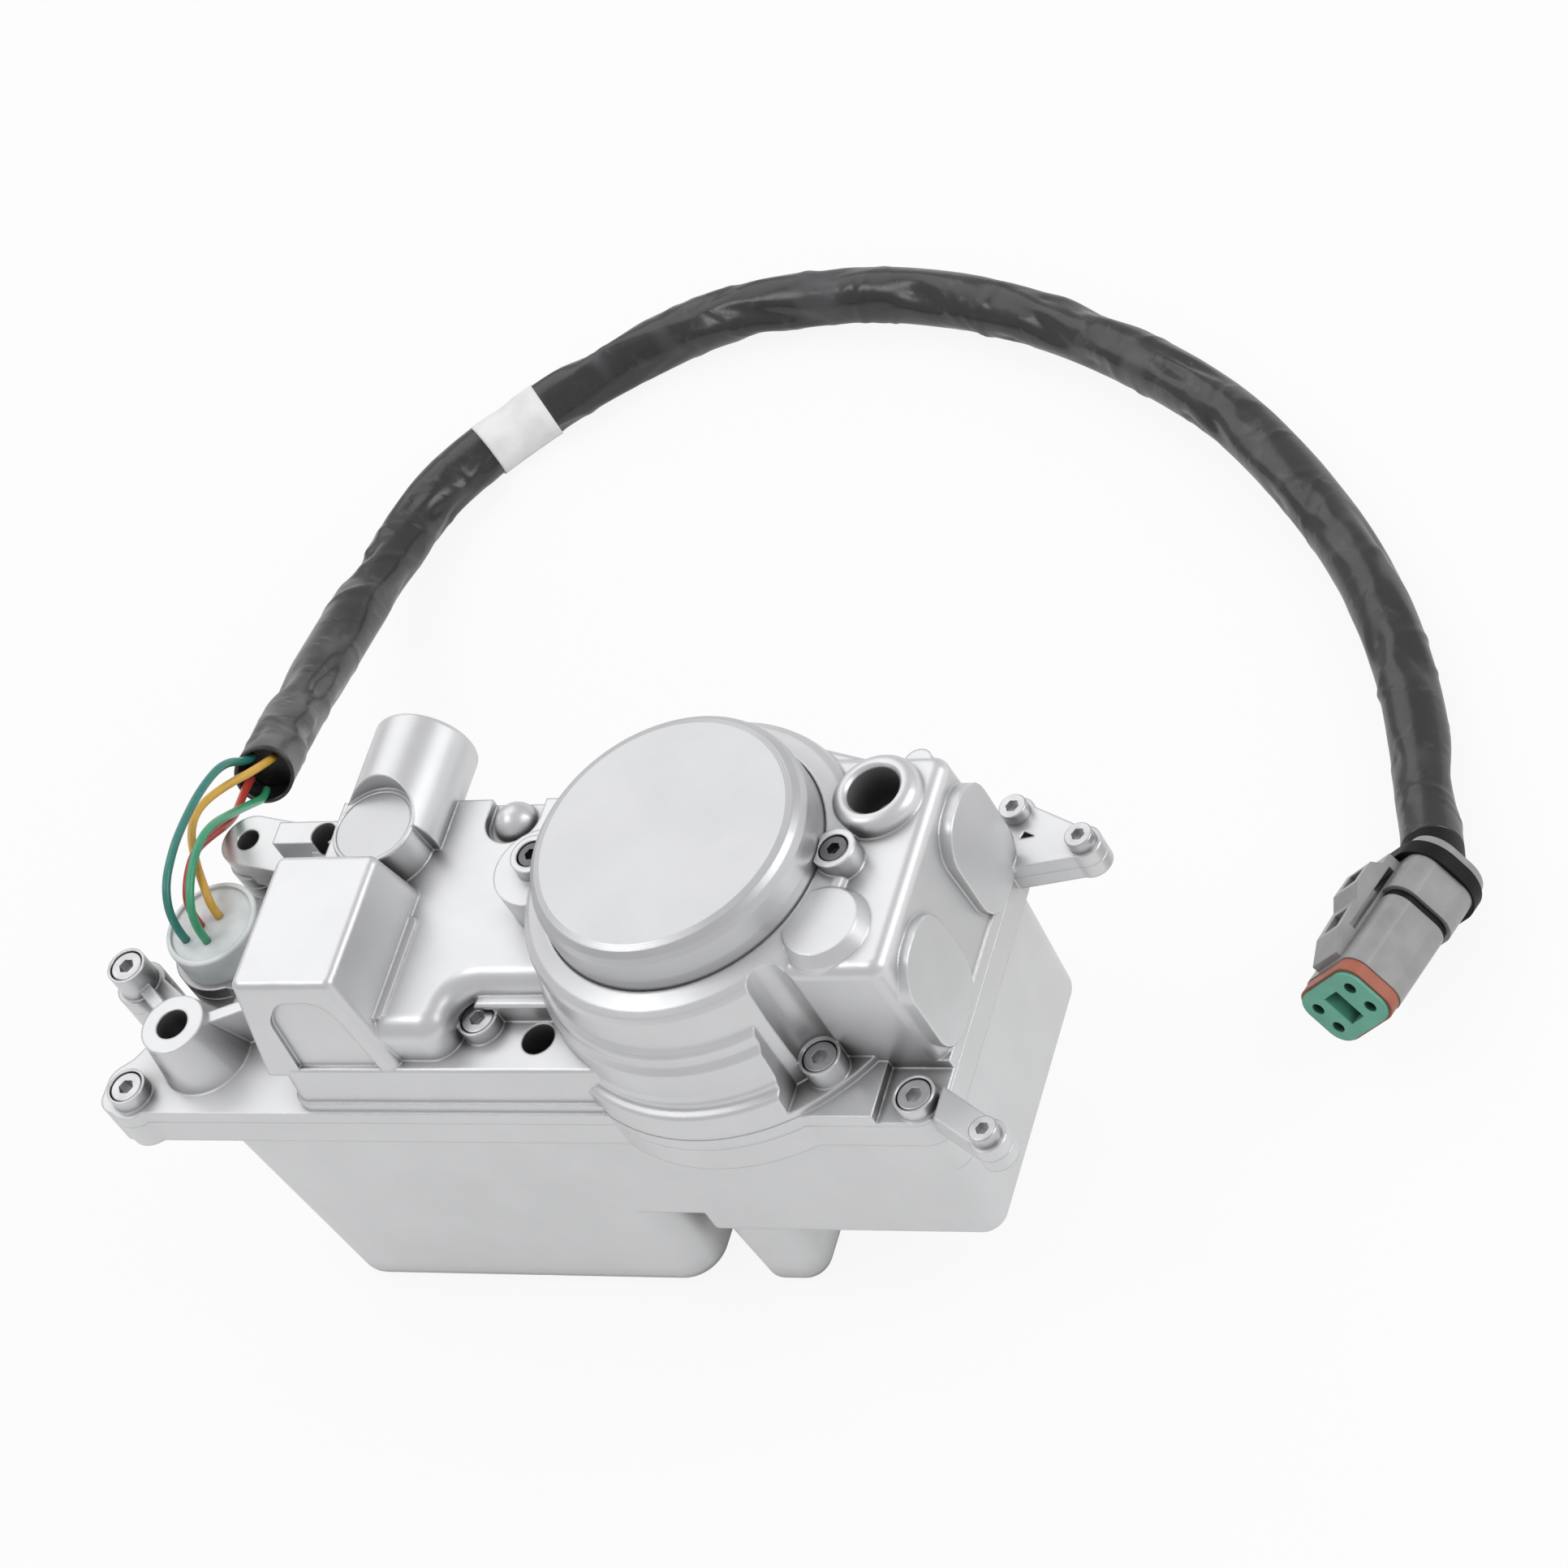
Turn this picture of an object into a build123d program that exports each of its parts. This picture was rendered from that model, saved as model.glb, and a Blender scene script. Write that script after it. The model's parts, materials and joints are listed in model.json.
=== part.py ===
from build123d import *
import math
import os

# Turbocharger actuator: die-cast housing, motor barrel with cap, gear train and pigtail.
# Millimetres. +Z is up along the motor axis, +X runs along the long front edge and +Y to the back.
# The motor axis is x 0, y 0 while the pieces are made, and the actuator stands on z 0.
# Before export every piece moves along X, so that the origin is below the middle of the housing's length.

# Lower housing
TUB_X0 = -142.8
TUB_X1 = 59.2
TUB_Y0 = -43.4
TUB_Y1 = 30.0
SPLIT_Z = 72.0
FLANGE_T = 8.0
SHALLOW_Z = 23.0
DEEP_X1 = -31.0
END_DRAFT = 7.2
GEAR_DRAFT = 3.2
WALL = 3.2
FLOOR = 3.4
FOOT_X0 = -20.0
FOOT_X1 = -1.0
VALLEY_TOP = 33.0
VALLEY_DEPTH = 9.0
VALLEY_RUN = 14.0
POST_R = 5.0
POST_H = 20.0

# Upper housing
PLATE_T = 4.0
LIP_X0 = -171.0
LIP_X1 = 59.8
LIP_Y0 = -43.8
LIP_Y1 = 34.0
SHELF_X0 = -112.5
SHELF_Z1 = 78.7
SHELF_Z2 = 90.0
DECK_Z = 102.0
BLOCK_TOP = 118.6
HIGH_DECK_Z = 112.0
HIGH_X0 = 18.0
HIGH_X1 = 57.6
HIGH_Y0 = -28.4
HIGH_Y1 = 32.5
SIDE_PAD_X = 61.2
STEP_PIT_Z = 78.0
CORNER_PIT_Z = 73.2
PIT_X0 = 23.5
PIT_X1 = 43.6
CAST_WALL = 3.0
DECK_BEND_R = 6.5
DECK_ROLL_R = 5.5
ARCH_DEPTH = 1.4
ARCH_BEND_R = 6.0

# Motor
FIT = 0.05
BARREL_R = 50.6
BARREL_TOP = 115.6
CAP_R = 35.3
CAP_SEAT_Z = 114.6
CAP_TOP = 128.0
CAP_FACE_R = 31.0
CAP_T = 3.0
CAP_GAP = 0.45
SPIGOT_WALL = 3.0
STATOR_R = 33.4
STATOR_Z = 81.0
STATOR_H = 26.0
STATOR_TEETH = 12
YOKE_T = 5.0
TOOTH_W = 5.0
COIL_W = 8.6
COIL_OVER = 3.6
AIR_GAP = 0.8
ROTOR_R = 20.0
MAGNET_T = 4.0
ROTOR_POLES = 8
CORE_OVER = 1.0
SHAFT_R = 4.0
COLLAR_R = 5.5
END_PLATE_R = 40.0
END_PLATE_T = 3.4
HUB_WALL = 3.0
EAR_X = 40.6
EAR_Y = 1.8
EAR_TOP = 118.0
EAR_R = 5.4

# Bearings: bore radius, outer radius, width
ROTOR_BEARING = (SHAFT_R, 11.0, 7.0)
OUTPUT_BEARING = (6.0, 12.0, 6.0)
BRIDGE_BEARING = (5.0, 9.5, 6.0)
ROTOR_LOW_Z = 66.0

# Gear train
PRESSURE_ANGLE = 25.0
BACKLASH = 0.14
ADDENDUM = 0.95
DEDENDUM = 1.2
FAST_MODULE = 0.7
SLOW_MODULE = 1.25
DRIVE_MODULE = 1.0
PINION_TEETH = 12
WHEEL_TEETH = 48
OUTPUT_TEETH = 36
DRIVE_TEETH = 14
LAY_ANGLE = 256.2
OUTPUT_ANGLE = 26.4
OUTPUT_GEAR_Z = 36.0
OUTPUT_GEAR_H = 10.0
WHEEL_GAP = 1.5
WHEEL_H = 7.0
MOTOR_PINION_DROP = 0.3
LAY_PIN_R = 3.0
LAY_HUB_R = 6.0
SEAL_H = 4.0
SEAL_STEP = 1.6
DRIVE_Z = 3.0
DRIVE_H = 17.0
END_GAP = 0.3
BRIDGE_Z = 58.4
BRIDGE_T = 3.6
BRIDGE_R = 6.0
MAGNET_R = 4.6
MAGNET_H = 3.0

# Fasteners: shank radius, head radius, head height, hex socket radius
M5 = (2.5, 4.2, 4.0, 2.1)
M4 = (2.0, 3.5, 3.2, 1.7)
M3 = (1.5, 2.75, 2.0, 1.3)
HEAD_SINK = 0.2
HEAD_GAP = 0.3

# Housing screws: x, y and the height of the boss top. The first two are in ears outside the tub.
HOUSING_SCREWS = [(-162.0, -38.5, 80.0), (-172.5, -5.5, 84.0), (-57.5, -28.0, 94.0), (30.8, -32.3, 84.0),
                  (53.5, -37.9, 76.8)]
INNER_SCREWS = HOUSING_SCREWS[2:5]
STEP_SCREW = HOUSING_SCREWS[3]
CORNER_SCREW = HOUSING_SCREWS[4]
SCREW_BOSS_R = 5.2
SCREW_DEPTH = 12.0
LEFT_EAR_R = 6.6

# Smaller screws in the thin tabs at the right: front, back and side
TAB_SCREWS = [(75.0, -48.5), (77.3, 32.2), (58.0, 40.7)]
TAB_R = 4.6
TAB_T = 4.0

# Mounting holes
TEARDROP = (-147.0, -27.0)
TEARDROP_TOP = 90.0
TEARDROP_R = 8.4
RING_BOSS = (43.8, 19.4)
RING_TOP = 116.5
RING_R = 11.0
RING_MOUTH_R = 6.6
RING_MOUTH_DEPTH = 14.0
RING_LIP = 0.8
POCKET_HOLE = (-41.5, -31.5)
EAR_HOLE = (-152.0, 33.5)
EAR_HOLE_TOP = 82.0
BOLT_R = 4.3
BOLT_WALL = 3.0
EAR_BOLT_R = 3.1

# Coolant channel
PIPE_X = -91.0
PIPE_Z = 104.5
PIPE_R = 13.0
PIPE_BORE_R = 7.5
PIPE_Y1 = 45.0
PORT_DEPTH = 18.0
PASSAGE_R = 5.0
ELBOW_X = -92.2
ELBOW_Y = 15.0
ELBOW_R = 11.0
ELBOW_TOP = 112.0
ELBOW_BORE_R = 7.5
PLUG_R = 10.0
PLUG_T = 2.2
PLUG_SINK = 0.2

# Wire exit and harness
GROMMET = (-151.5, 6.5)
GROMMET_R = 12.6
GROMMET_H = 8.6
GROMMET_STEM_R = 8.0
WIRE_R = 1.1
SLEEVE_R = 7.7
LABEL_T = 0.35
LABEL_LENGTH = 21.0

# Circuit board
BOARD_Z = 11.0
BOARD_T = 1.6
BOARD_GAP = 2.0
CAPACITOR_R = 8.0
CAPACITOR_H = 31.5
CHOKE_R = 9.0
CHOKE_H = 12.0

# Connector, from its rear ring to its nose
CONNECTOR_AT = (135.6, 65.3, 13.5)
CONNECTOR_SIDE = (0.780, -0.020, 0.626)
CONNECTOR_NOSE = (-0.205, -0.957, 0.205)
CONNECTOR_L = 46.0
SHELL_W = 24.6
SHELL_T = 17.6
SHELL_RIM = 0.5
WEDGE_LIP = 1.1
FRONT_SEAL_L = 3.6
CONTACT_R = 1.6
CONTACT_DX = 7.4
CONTACT_DY = 3.2
REAR_STUB = 9.0

# Sizes that follow from those above
LAY_X = FAST_MODULE * (PINION_TEETH + WHEEL_TEETH) / 2 * math.cos(math.radians(LAY_ANGLE))
LAY_Y = FAST_MODULE * (PINION_TEETH + WHEEL_TEETH) / 2 * math.sin(math.radians(LAY_ANGLE))
OUT_X = LAY_X + SLOW_MODULE * (PINION_TEETH + OUTPUT_TEETH) / 2 * math.cos(math.radians(OUTPUT_ANGLE))
OUT_Y = LAY_Y + SLOW_MODULE * (PINION_TEETH + OUTPUT_TEETH) / 2 * math.sin(math.radians(OUTPUT_ANGLE))
PLATE_TOP = SPLIT_Z + PLATE_T
WHEEL_Z = OUTPUT_GEAR_Z + OUTPUT_GEAR_H + WHEEL_GAP
OUT_BEARING_Z = SHALLOW_Z + SEAL_H + SEAL_STEP
LAY_SEAT_Z = OUTPUT_GEAR_Z - 1.0
BRIDGE_TOP = BRIDGE_Z + BRIDGE_T
ROTOR_TOP_Z = CAP_TOP - CAP_T - ROTOR_BEARING[2] - 3.0
STATOR_TOP = STATOR_Z + STATOR_H
GROMMET_TOP = PLATE_TOP + GROMMET_H
EAR_SCREWS = [(-EAR_X, EAR_Y), (EAR_X - 1.0, EAR_Y)]
END_PLATE_SCREW_R = (STATOR_R + END_PLATE_R) / 2
MOTOR_X = -(HOUSING_SCREWS[1][0] - LEFT_EAR_R + TAB_SCREWS[1][0] + TAB_R) / 2


def bar(x0, x1, y0, y1, z0, z1):
    """Box between two corners."""
    return Pos((x0 + x1) / 2, (y0 + y1) / 2, (z0 + z1) / 2) * Box(x1 - x0, y1 - y0, z1 - z0)


def rod(x, y, z0, z1, r):
    """Upright cylinder."""
    return Pos(x, y, (z0 + z1) / 2) * Cylinder(r, z1 - z0)


def tube(x, y, z0, z1, r_out, r_in):
    """Upright tube."""
    return rod(x, y, z0, z1, r_out) - rod(x, y, z0 - 1, z1 + 1, r_in)


def lift(plan, z0, z1):
    """Plan face raised into a solid between two heights."""
    return extrude(Pos(0, 0, z0) * plan, amount=z1 - z0, dir=(0, 0, 1))


def slab(x0, x1, y0, y1, z, r):
    """Rounded rectangle lying at height z."""
    return Pos((x0 + x1) / 2, (y0 + y1) / 2, z) * RectangleRounded(x1 - x0, y1 - y0, r)


def bridge_face(a, b, half):
    """Plan of a straight web with round ends."""
    length = math.hypot(b[0] - a[0], b[1] - a[1])
    turn = math.degrees(math.atan2(b[1] - a[1], b[0] - a[0]))
    return Pos((a[0] + b[0]) / 2, (a[1] + b[1]) / 2) * Rot(0, 0, turn) * SlotCenterToCenter(length, 2 * half)


def web(a, b, half, z0, z1):
    """Straight wall with round ends between two points in plan."""
    return lift(bridge_face(a, b, half), z0, z1)


def turned(points, x=0.0, y=0.0):
    """Solid of revolution about an upright axis through x, y, from (radius, height) points."""
    face = make_face(Plane.XZ * Polyline(*points, close=True))
    return Pos(x, y, 0) * revolve(face, axis=Axis.Z)


def joined(body, *pieces):
    """Union, piece by piece, that refuses to lose material."""
    least = body.volume
    for piece in pieces:
        body = body + piece
        least = max(least, piece.volume)
        if body.volume < least - 1.0:
            raise ValueError("a union lost material")
    return body


def gear_face(module, teeth, phase):
    """Involute gear outline with a tooth centred on the angle phase, in degrees."""
    pressure = math.radians(PRESSURE_ANGLE)
    pitch_r = module * teeth / 2
    base_r = pitch_r * math.cos(pressure)
    tip_r = pitch_r + ADDENDUM * module
    root_r = pitch_r - DEDENDUM * module
    start_r = max(base_r, root_r)
    half = math.pi / (2 * teeth) - BACKLASH / (2 * pitch_r) + math.tan(pressure) - pressure

    def flank(r):
        angle = math.acos(min(1.0, base_r / r))
        return half - (math.tan(angle) - angle)

    def at(r, angle):
        return (r * math.cos(angle), r * math.sin(angle))

    lines = []
    for i in range(teeth):
        c = math.radians(phase) + 2 * math.pi * i / teeth
        nxt = c + 2 * math.pi / teeth
        rise = [at(r, c - flank(r)) for r in (start_r, (start_r + tip_r) / 2, tip_r)]
        fall = [at(r, c + flank(r)) for r in (tip_r, (start_r + tip_r) / 2, start_r)]
        lines += [ThreePointArc(*rise), Line(rise[2], fall[0]), ThreePointArc(*fall)]
        root_end = at(start_r, nxt - flank(start_r))
        if start_r - root_r > 1e-4:
            low = [at(root_r, c + flank(start_r)), at(root_r, nxt - flank(start_r))]
            lines += [Line(fall[2], low[0]), Line(low[0], low[1]), Line(low[1], root_end)]
        else:
            lines.append(Line(fall[2], root_end))
    return make_face(lines)


def gear(module, teeth, phase, x, y, z0, height):
    """Spur gear blank with no bore."""
    return Pos(x, y, 0) * lift(gear_face(module, teeth, phase), z0, z0 + height)


def socket_screw(size, length, x, y, z):
    """Socket head screw with its head underside at x, y, z and its shank downwards."""
    shank_r, head_r, head_h, hex_r = size
    head = fillet(rod(0, 0, 0, head_h, head_r).edges().group_by(Axis.Z)[-1], 0.4)
    screw = head + rod(0, 0, -length, 0.1, shank_r)
    return Pos(x, y, z) * (screw - lift(RegularPolygon(hex_r, 6), head_h * 0.3, head_h + 1))


def hung_screw(size, length, x, y, z):
    """Socket head screw put in from below, with its head against the height z."""
    return Pos(x, y, z) * (Rot(180, 0, 0) * socket_screw(size, length, 0, 0, 0))


def bearing(x, y, z0, size):
    """Ball bearing as one ring with its shield step."""
    bore, outer, width = size
    mid = (bore + outer) / 2
    step = tube(x, y, z0 + width - 0.5, z0 + width + 1, mid + 1.4, mid - 1.4)
    return tube(x, y, z0, z0 + width, outer, bore + FIT) - step


def drafted(x0, x1, z0, z1, x0_draft, x1_draft, grow, r):
    """Housing block across the tub's width that narrows downwards at its ends."""
    low = slab(x0 + x0_draft, x1 - x1_draft, TUB_Y0 + grow, TUB_Y1 - grow, z0, r)
    high = slab(x0, x1, TUB_Y0 + grow, TUB_Y1 - grow, z1, r)
    return loft([low, high], ruled=True)


BRIDGE_POSTS = [(OUT_X + 27.0, OUT_Y + 13.0), (OUT_X + 0.2, OUT_Y - 28.7), (LAY_X - 21.5, LAY_Y + 11.0),
                (LAY_X - 3.0, LAY_Y + 40.4), (OUT_X + 0.2, OUT_Y + 30.0)]
BOARD_POSTS = [(TUB_X0 + 17, TUB_Y0 + 12), (TUB_X0 + 17, TUB_Y1 - 12),
               (DEEP_X1 - 12, TUB_Y0 + 12), (DEEP_X1 - 12, TUB_Y1 - 12)]


def tab_plan():
    """Plan outline of the screw tabs at the right, with the webs that carry them."""
    front, back, side = TAB_SCREWS
    plan = bridge_face(front, (54.0, -36.0), 3.8)
    for a, b, half in ((back, (54.0, 28.0), 4.2), (side, (54.0, 26.0), 4.4), (back, side, 3.4)):
        plan += bridge_face(a, b, half)
    for x, y in TAB_SCREWS:
        plan += Pos(x, y) * Circle(TAB_R)
    return plan


def lip_plan():
    """Plan outline that both housings share at the parting plane, without the tabs."""
    x1 = SHELF_X0 + 8
    plan = slab(SHELF_X0 - 6, LIP_X1, LIP_Y0, LIP_Y1, 0, 6.5)
    corner = make_face(Polyline((LIP_X0, LIP_Y0), (x1, LIP_Y0), (x1, LIP_Y1 - 3.6), (-136, LIP_Y1 - 3.6),
                                (-136, -14), (-158, -16), (-166, -28), (LIP_X0, -32), close=True))
    plan += fillet(corner.vertices().sort_by(Axis.X)[:2], 5.0)
    ears = ((HOUSING_SCREWS[0], 7.0), (HOUSING_SCREWS[1], LEFT_EAR_R),
            (GROMMET, GROMMET_R + 1.6), (EAR_HOLE, 8.0))
    for place, r in ears:
        plan += Pos(place[0], place[1]) * Circle(r)
    plan += Circle(BARREL_R)
    arms = ((HOUSING_SCREWS[1], (-150.0, -20.0), 4.6), (GROMMET, (-132.0, 2.0), 12.0),
            (EAR_HOLE, (-126.0, 28.0), 6.5))
    for a, b, half in arms:
        plan += bridge_face(a, b, half)
    return plan


def tub_shape():
    """Outer form of the lower housing."""
    deep = drafted(TUB_X0, DEEP_X1, 0, SPLIT_Z, END_DRAFT, 0.0, 0.0, 10.0)
    deep = fillet(deep.faces().sort_by(Axis.Z)[0].edges(), 4.0)
    shallow = drafted(DEEP_X1 - 25, TUB_X1, SHALLOW_Z, SPLIT_Z, 0.0, GEAR_DRAFT, 0.0, 6.0)
    shallow = fillet(shallow.faces().sort_by(Axis.Z)[0].edges(), 4.5)
    shallow -= bar(DEEP_X1 - VALLEY_RUN, FOOT_X0, TUB_Y0 - 2, TUB_Y0 + VALLEY_DEPTH,
                   SHALLOW_Z - 1, VALLEY_TOP)
    foot = loft([slab(FOOT_X0 + 0.9, FOOT_X1 - 0.9, TUB_Y0 + 1.4, TUB_Y1 - 1.4, 0, 6.0),
                 slab(FOOT_X0, FOOT_X1, TUB_Y0 + 0.6, TUB_Y1 - 0.6, SHALLOW_Z + 3, 6.0)], ruled=True)
    foot = fillet(foot.faces().sort_by(Axis.Z)[0].edges(), 2.5)
    flange = lift(lip_plan(), SPLIT_Z - FLANGE_T, SPLIT_Z)
    return joined(deep, shallow, foot, flange, lift(tab_plan(), SPLIT_Z - TAB_T, SPLIT_Z))


def tub_bays():
    """Space inside the lower housing: the board bay and the gear bay."""
    bay = drafted(TUB_X0 + WALL, DEEP_X1 - WALL, FLOOR, SPLIT_Z + 1, END_DRAFT, 0.0, WALL, 7.0)
    gears = drafted(DEEP_X1 - WALL - 12, TUB_X1 - WALL, SHALLOW_Z + FLOOR, SPLIT_Z + 1,
                    0.0, GEAR_DRAFT, WALL, 4.0)
    hood = bar(DEEP_X1 - WALL - 9, FOOT_X0 + WALL, TUB_Y0 + 1, TUB_Y0 + VALLEY_DEPTH + WALL,
               SHALLOW_Z, VALLEY_TOP + FLOOR)
    return bay + (gears - hood)


def lower_posts():
    """Posts, bosses and bearing seats that stand inside the lower housing."""
    posts = []
    for x, y, top in INNER_SCREWS:
        posts.append(rod(x, y, SPLIT_Z - POST_H, SPLIT_Z, POST_R))
        posts.append(bar(x - 2, x + 2, TUB_Y0 + 1.5, y, SPLIT_Z - POST_H, SPLIT_Z))
    for x, y in BRIDGE_POSTS:
        posts.append(rod(x, y, SHALLOW_Z + 1, BRIDGE_Z, POST_R - 0.6))
    for x, y in BOARD_POSTS:
        posts.append(rod(x, y, FLOOR - 1, BOARD_Z, 3.6))
    seat_top = OUT_BEARING_Z + OUTPUT_BEARING[2]
    posts.append(rod(OUT_X, OUT_Y, SHALLOW_Z + 1, seat_top, OUTPUT_BEARING[1] + 3.0))
    posts.append(rod(LAY_X, LAY_Y, SHALLOW_Z + 1, LAY_SEAT_Z, LAY_PIN_R + 3.5))
    posts.append(rod(RING_BOSS[0], RING_BOSS[1], SHALLOW_Z + 1, SPLIT_Z, BOLT_R + BOLT_WALL))
    return posts


def seal_strip(clear):
    """Strip of the mouth groove between the housings, narrowed by clear on each side."""
    a = (WALL - 1.3) / 2 + clear
    b = (WALL + 1.3) / 2 - clear
    outer = slab(TUB_X0 + a, TUB_X1 - a, TUB_Y0 + a, TUB_Y1 - a, 0, 5.5)
    inner = slab(TUB_X0 + b, TUB_X1 - b, TUB_Y0 + b, TUB_Y1 - b, 0, 4.4)
    return outer - inner


def lower_housing():
    """Drafted tub: deep board bay at the left, foot and shallow gear end at the right."""
    body = joined(tub_shape() - tub_bays(), *lower_posts())
    cuts = [rod(OUT_X, OUT_Y, SHALLOW_Z - 1, OUT_BEARING_Z + 20, OUTPUT_BEARING[0] + 1.2),
            rod(OUT_X, OUT_Y, OUT_BEARING_Z, OUT_BEARING_Z + 20, OUTPUT_BEARING[1] + FIT),
            rod(OUT_X, OUT_Y, SHALLOW_Z - 1, SHALLOW_Z + SEAL_H, OUTPUT_BEARING[1] - 2.0),
            rod(LAY_X, LAY_Y, SHALLOW_Z + 2, LAY_SEAT_Z + 1, LAY_PIN_R)]
    cuts += [rod(x, y, -1, SPLIT_Z + 1, BOLT_R) for x, y in (RING_BOSS, TEARDROP)]
    cuts.append(rod(EAR_HOLE[0], EAR_HOLE[1], -1, SPLIT_Z + 1, EAR_BOLT_R))
    cuts += [rod(x, y, SPLIT_Z - SCREW_DEPTH, SPLIT_Z + 1, M5[0]) for x, y, top in HOUSING_SCREWS]
    cuts += [rod(x, y, SPLIT_Z - SCREW_DEPTH, SPLIT_Z + 1, M4[0]) for x, y in TAB_SCREWS]
    cuts += [rod(x, y, BRIDGE_Z - 9, BRIDGE_Z + 1, M4[0]) for x, y in BRIDGE_POSTS]
    cuts += [rod(x, y, BOARD_Z - 6, BOARD_Z + 1, M3[0]) for x, y in BOARD_POSTS]
    cuts.append(lift(seal_strip(0.0), SPLIT_Z - 1.6, SPLIT_Z + 1))
    return body - cuts


def barrel_profile():
    """Stepped outer wall of the motor barrel, as (radius, height) points from the plate up."""
    return [(0, SPLIT_Z), (BARREL_R, SPLIT_Z), (BARREL_R - 0.6, 83.4), (49.3, 84.2), (47.9, 84.5),
            (47.7, 86.2), (47.2, 86.9), (46.8, 88.4), (46.3, 96.2), (45.7, 97.0), (44.9, 98.2),
            (44.8, 100.8), (44.2, 101.7), (43.1, 102.4), (42.5, 111.8), (41.8, 113.4), (40.2, 114.4),
            (CAP_R + CAP_GAP, BARREL_TOP),
            (CAP_R + CAP_GAP, CAP_SEAT_Z), (0, CAP_SEAT_Z)]


def deck_shape():
    """Middle deck, whose front edge steps back in an S and rolls over into its wall."""
    x0 = SHELF_X0 + 1.6
    y1 = TUB_Y1 - 0.6
    plan = make_face(Polyline((x0, -20), (-80, -20), (-80, -37.5), (-62.5, -37.5), (-61.5, -23.5),
                              (-25, -23.5), (-25, y1), (x0, y1), close=True))
    bends = [v for v in plan.vertices() if -63 < v.X < -61]
    plan = fillet(bends, DECK_BEND_R)
    solid = lift(plan, SPLIT_Z + 2, DECK_Z)
    rim = solid.faces().sort_by(Axis.Z)[-1].edges()
    front = [e for e in rim if e.center().Y < -21 and e.center().X > -79.5]
    return fillet(front, DECK_ROLL_R)


def upper_shapes():
    """Outer form of the upper housing, before it is hollowed."""
    body = lift(lip_plan() + tab_plan(), SPLIT_Z, PLATE_TOP)
    step = lift(slab(SHELF_X0, -20, LIP_Y0 + 0.8, TUB_Y1, 0, 5.0), SPLIT_Z + 1, SHELF_Z1)
    shelf = loft([slab(SHELF_X0 + 0.4, -18, LIP_Y0 + 1.7, TUB_Y1 - 0.2, SHELF_Z1 - 1, 4.5),
                  slab(SHELF_X0 + 1.0, -18, LIP_Y0 + 3.2, TUB_Y1 - 0.2, SHELF_Z2, 4.5)], ruled=True)
    shelf = fillet(shelf.faces().sort_by(Axis.Z)[-1].edges(), 1.0)
    high = loft([slab(HIGH_X0, LIP_X1 - 0.4, HIGH_Y0, HIGH_Y1, SPLIT_Z + 2, 4.0),
                 slab(HIGH_X0, HIGH_X1, HIGH_Y0, HIGH_Y1, HIGH_DECK_Z, 4.0)], ruled=True)
    high = fillet(high.faces().sort_by(Axis.Z)[-1].edges(), 3.2)
    return joined(body, step, shelf, deck_shape(), high, turned(barrel_profile()))


def block():
    """Drafted electronics block on the left of the deck, with the shallow arch in its front."""
    low = slab(-116.0, -76.5, -40.6, 4.5, SHELF_Z2 - 2, 2.5)
    high = slab(-111.2, -83.4, -35.6, 2.4, BLOCK_TOP, 2.5)
    solid = loft([low, high], ruled=True)
    solid = fillet(solid.faces().sort_by(Axis.Z)[-1].edges(), 2.0)
    arch = FilletPolyline((-105, 86), (-105.8, 106), (-100.8, 112.6), (-89, 112.6), (-85.6, 106), (-81, 86),
                          radius=[ARCH_BEND_R] * 4, close=False)
    outline = make_face(arch + Line(arch @ 1, arch @ 0))
    prism = extrude(Plane.XZ * outline, amount=50.0, dir=(0, -1, 0))
    return solid - (prism - Pos(0, ARCH_DEPTH, 0) * solid)


def coolant_channel():
    """Horizontal coolant stub, its upright elbow and the cut that bares the elbow's face."""
    length = PIPE_Y1 - ELBOW_Y
    stub = Pos(PIPE_X, ELBOW_Y + length / 2, PIPE_Z) * Rot(90, 0, 0) * Cylinder(PIPE_R, length)
    stub = fillet(stub.edges().group_by(Axis.Y)[-1], 1.2)
    foot = DECK_Z - 4
    profile = [(0, foot), (ELBOW_R + 1.2, foot), (ELBOW_R, ELBOW_TOP), (0, ELBOW_TOP)]
    elbow = turned(profile, ELBOW_X, ELBOW_Y)
    elbow = fillet(elbow.edges().group_by(Axis.Z)[-1], 0.6)
    return [stub - rod(ELBOW_X, ELBOW_Y, ELBOW_TOP, CAP_TOP, ELBOW_R + 0.3), elbow]


def ring_web():
    """Web that carries the ring boss on the back of the barrel."""
    around = Circle(CAP_R + 5.7).edges() + (Pos(*RING_BOSS) * Circle(RING_R)).edges()
    solid = lift(make_hull(around), DECK_Z - 6, HIGH_DECK_Z - 1.5)
    return fillet(solid.faces().sort_by(Axis.Z)[-1].edges(), 1.8)


def side_pad(y0, y1, x1):
    """Pad with round corners on the right wall."""
    face = Plane.YZ * (Pos((y0 + y1) / 2, 90.5) * RectangleRounded(y1 - y0, 33.0, 9.5))
    return extrude(Pos(HIGH_X1 - 3, 0, 0) * face, amount=x1 - HIGH_X1 + 3, dir=(1, 0, 0))


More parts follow.
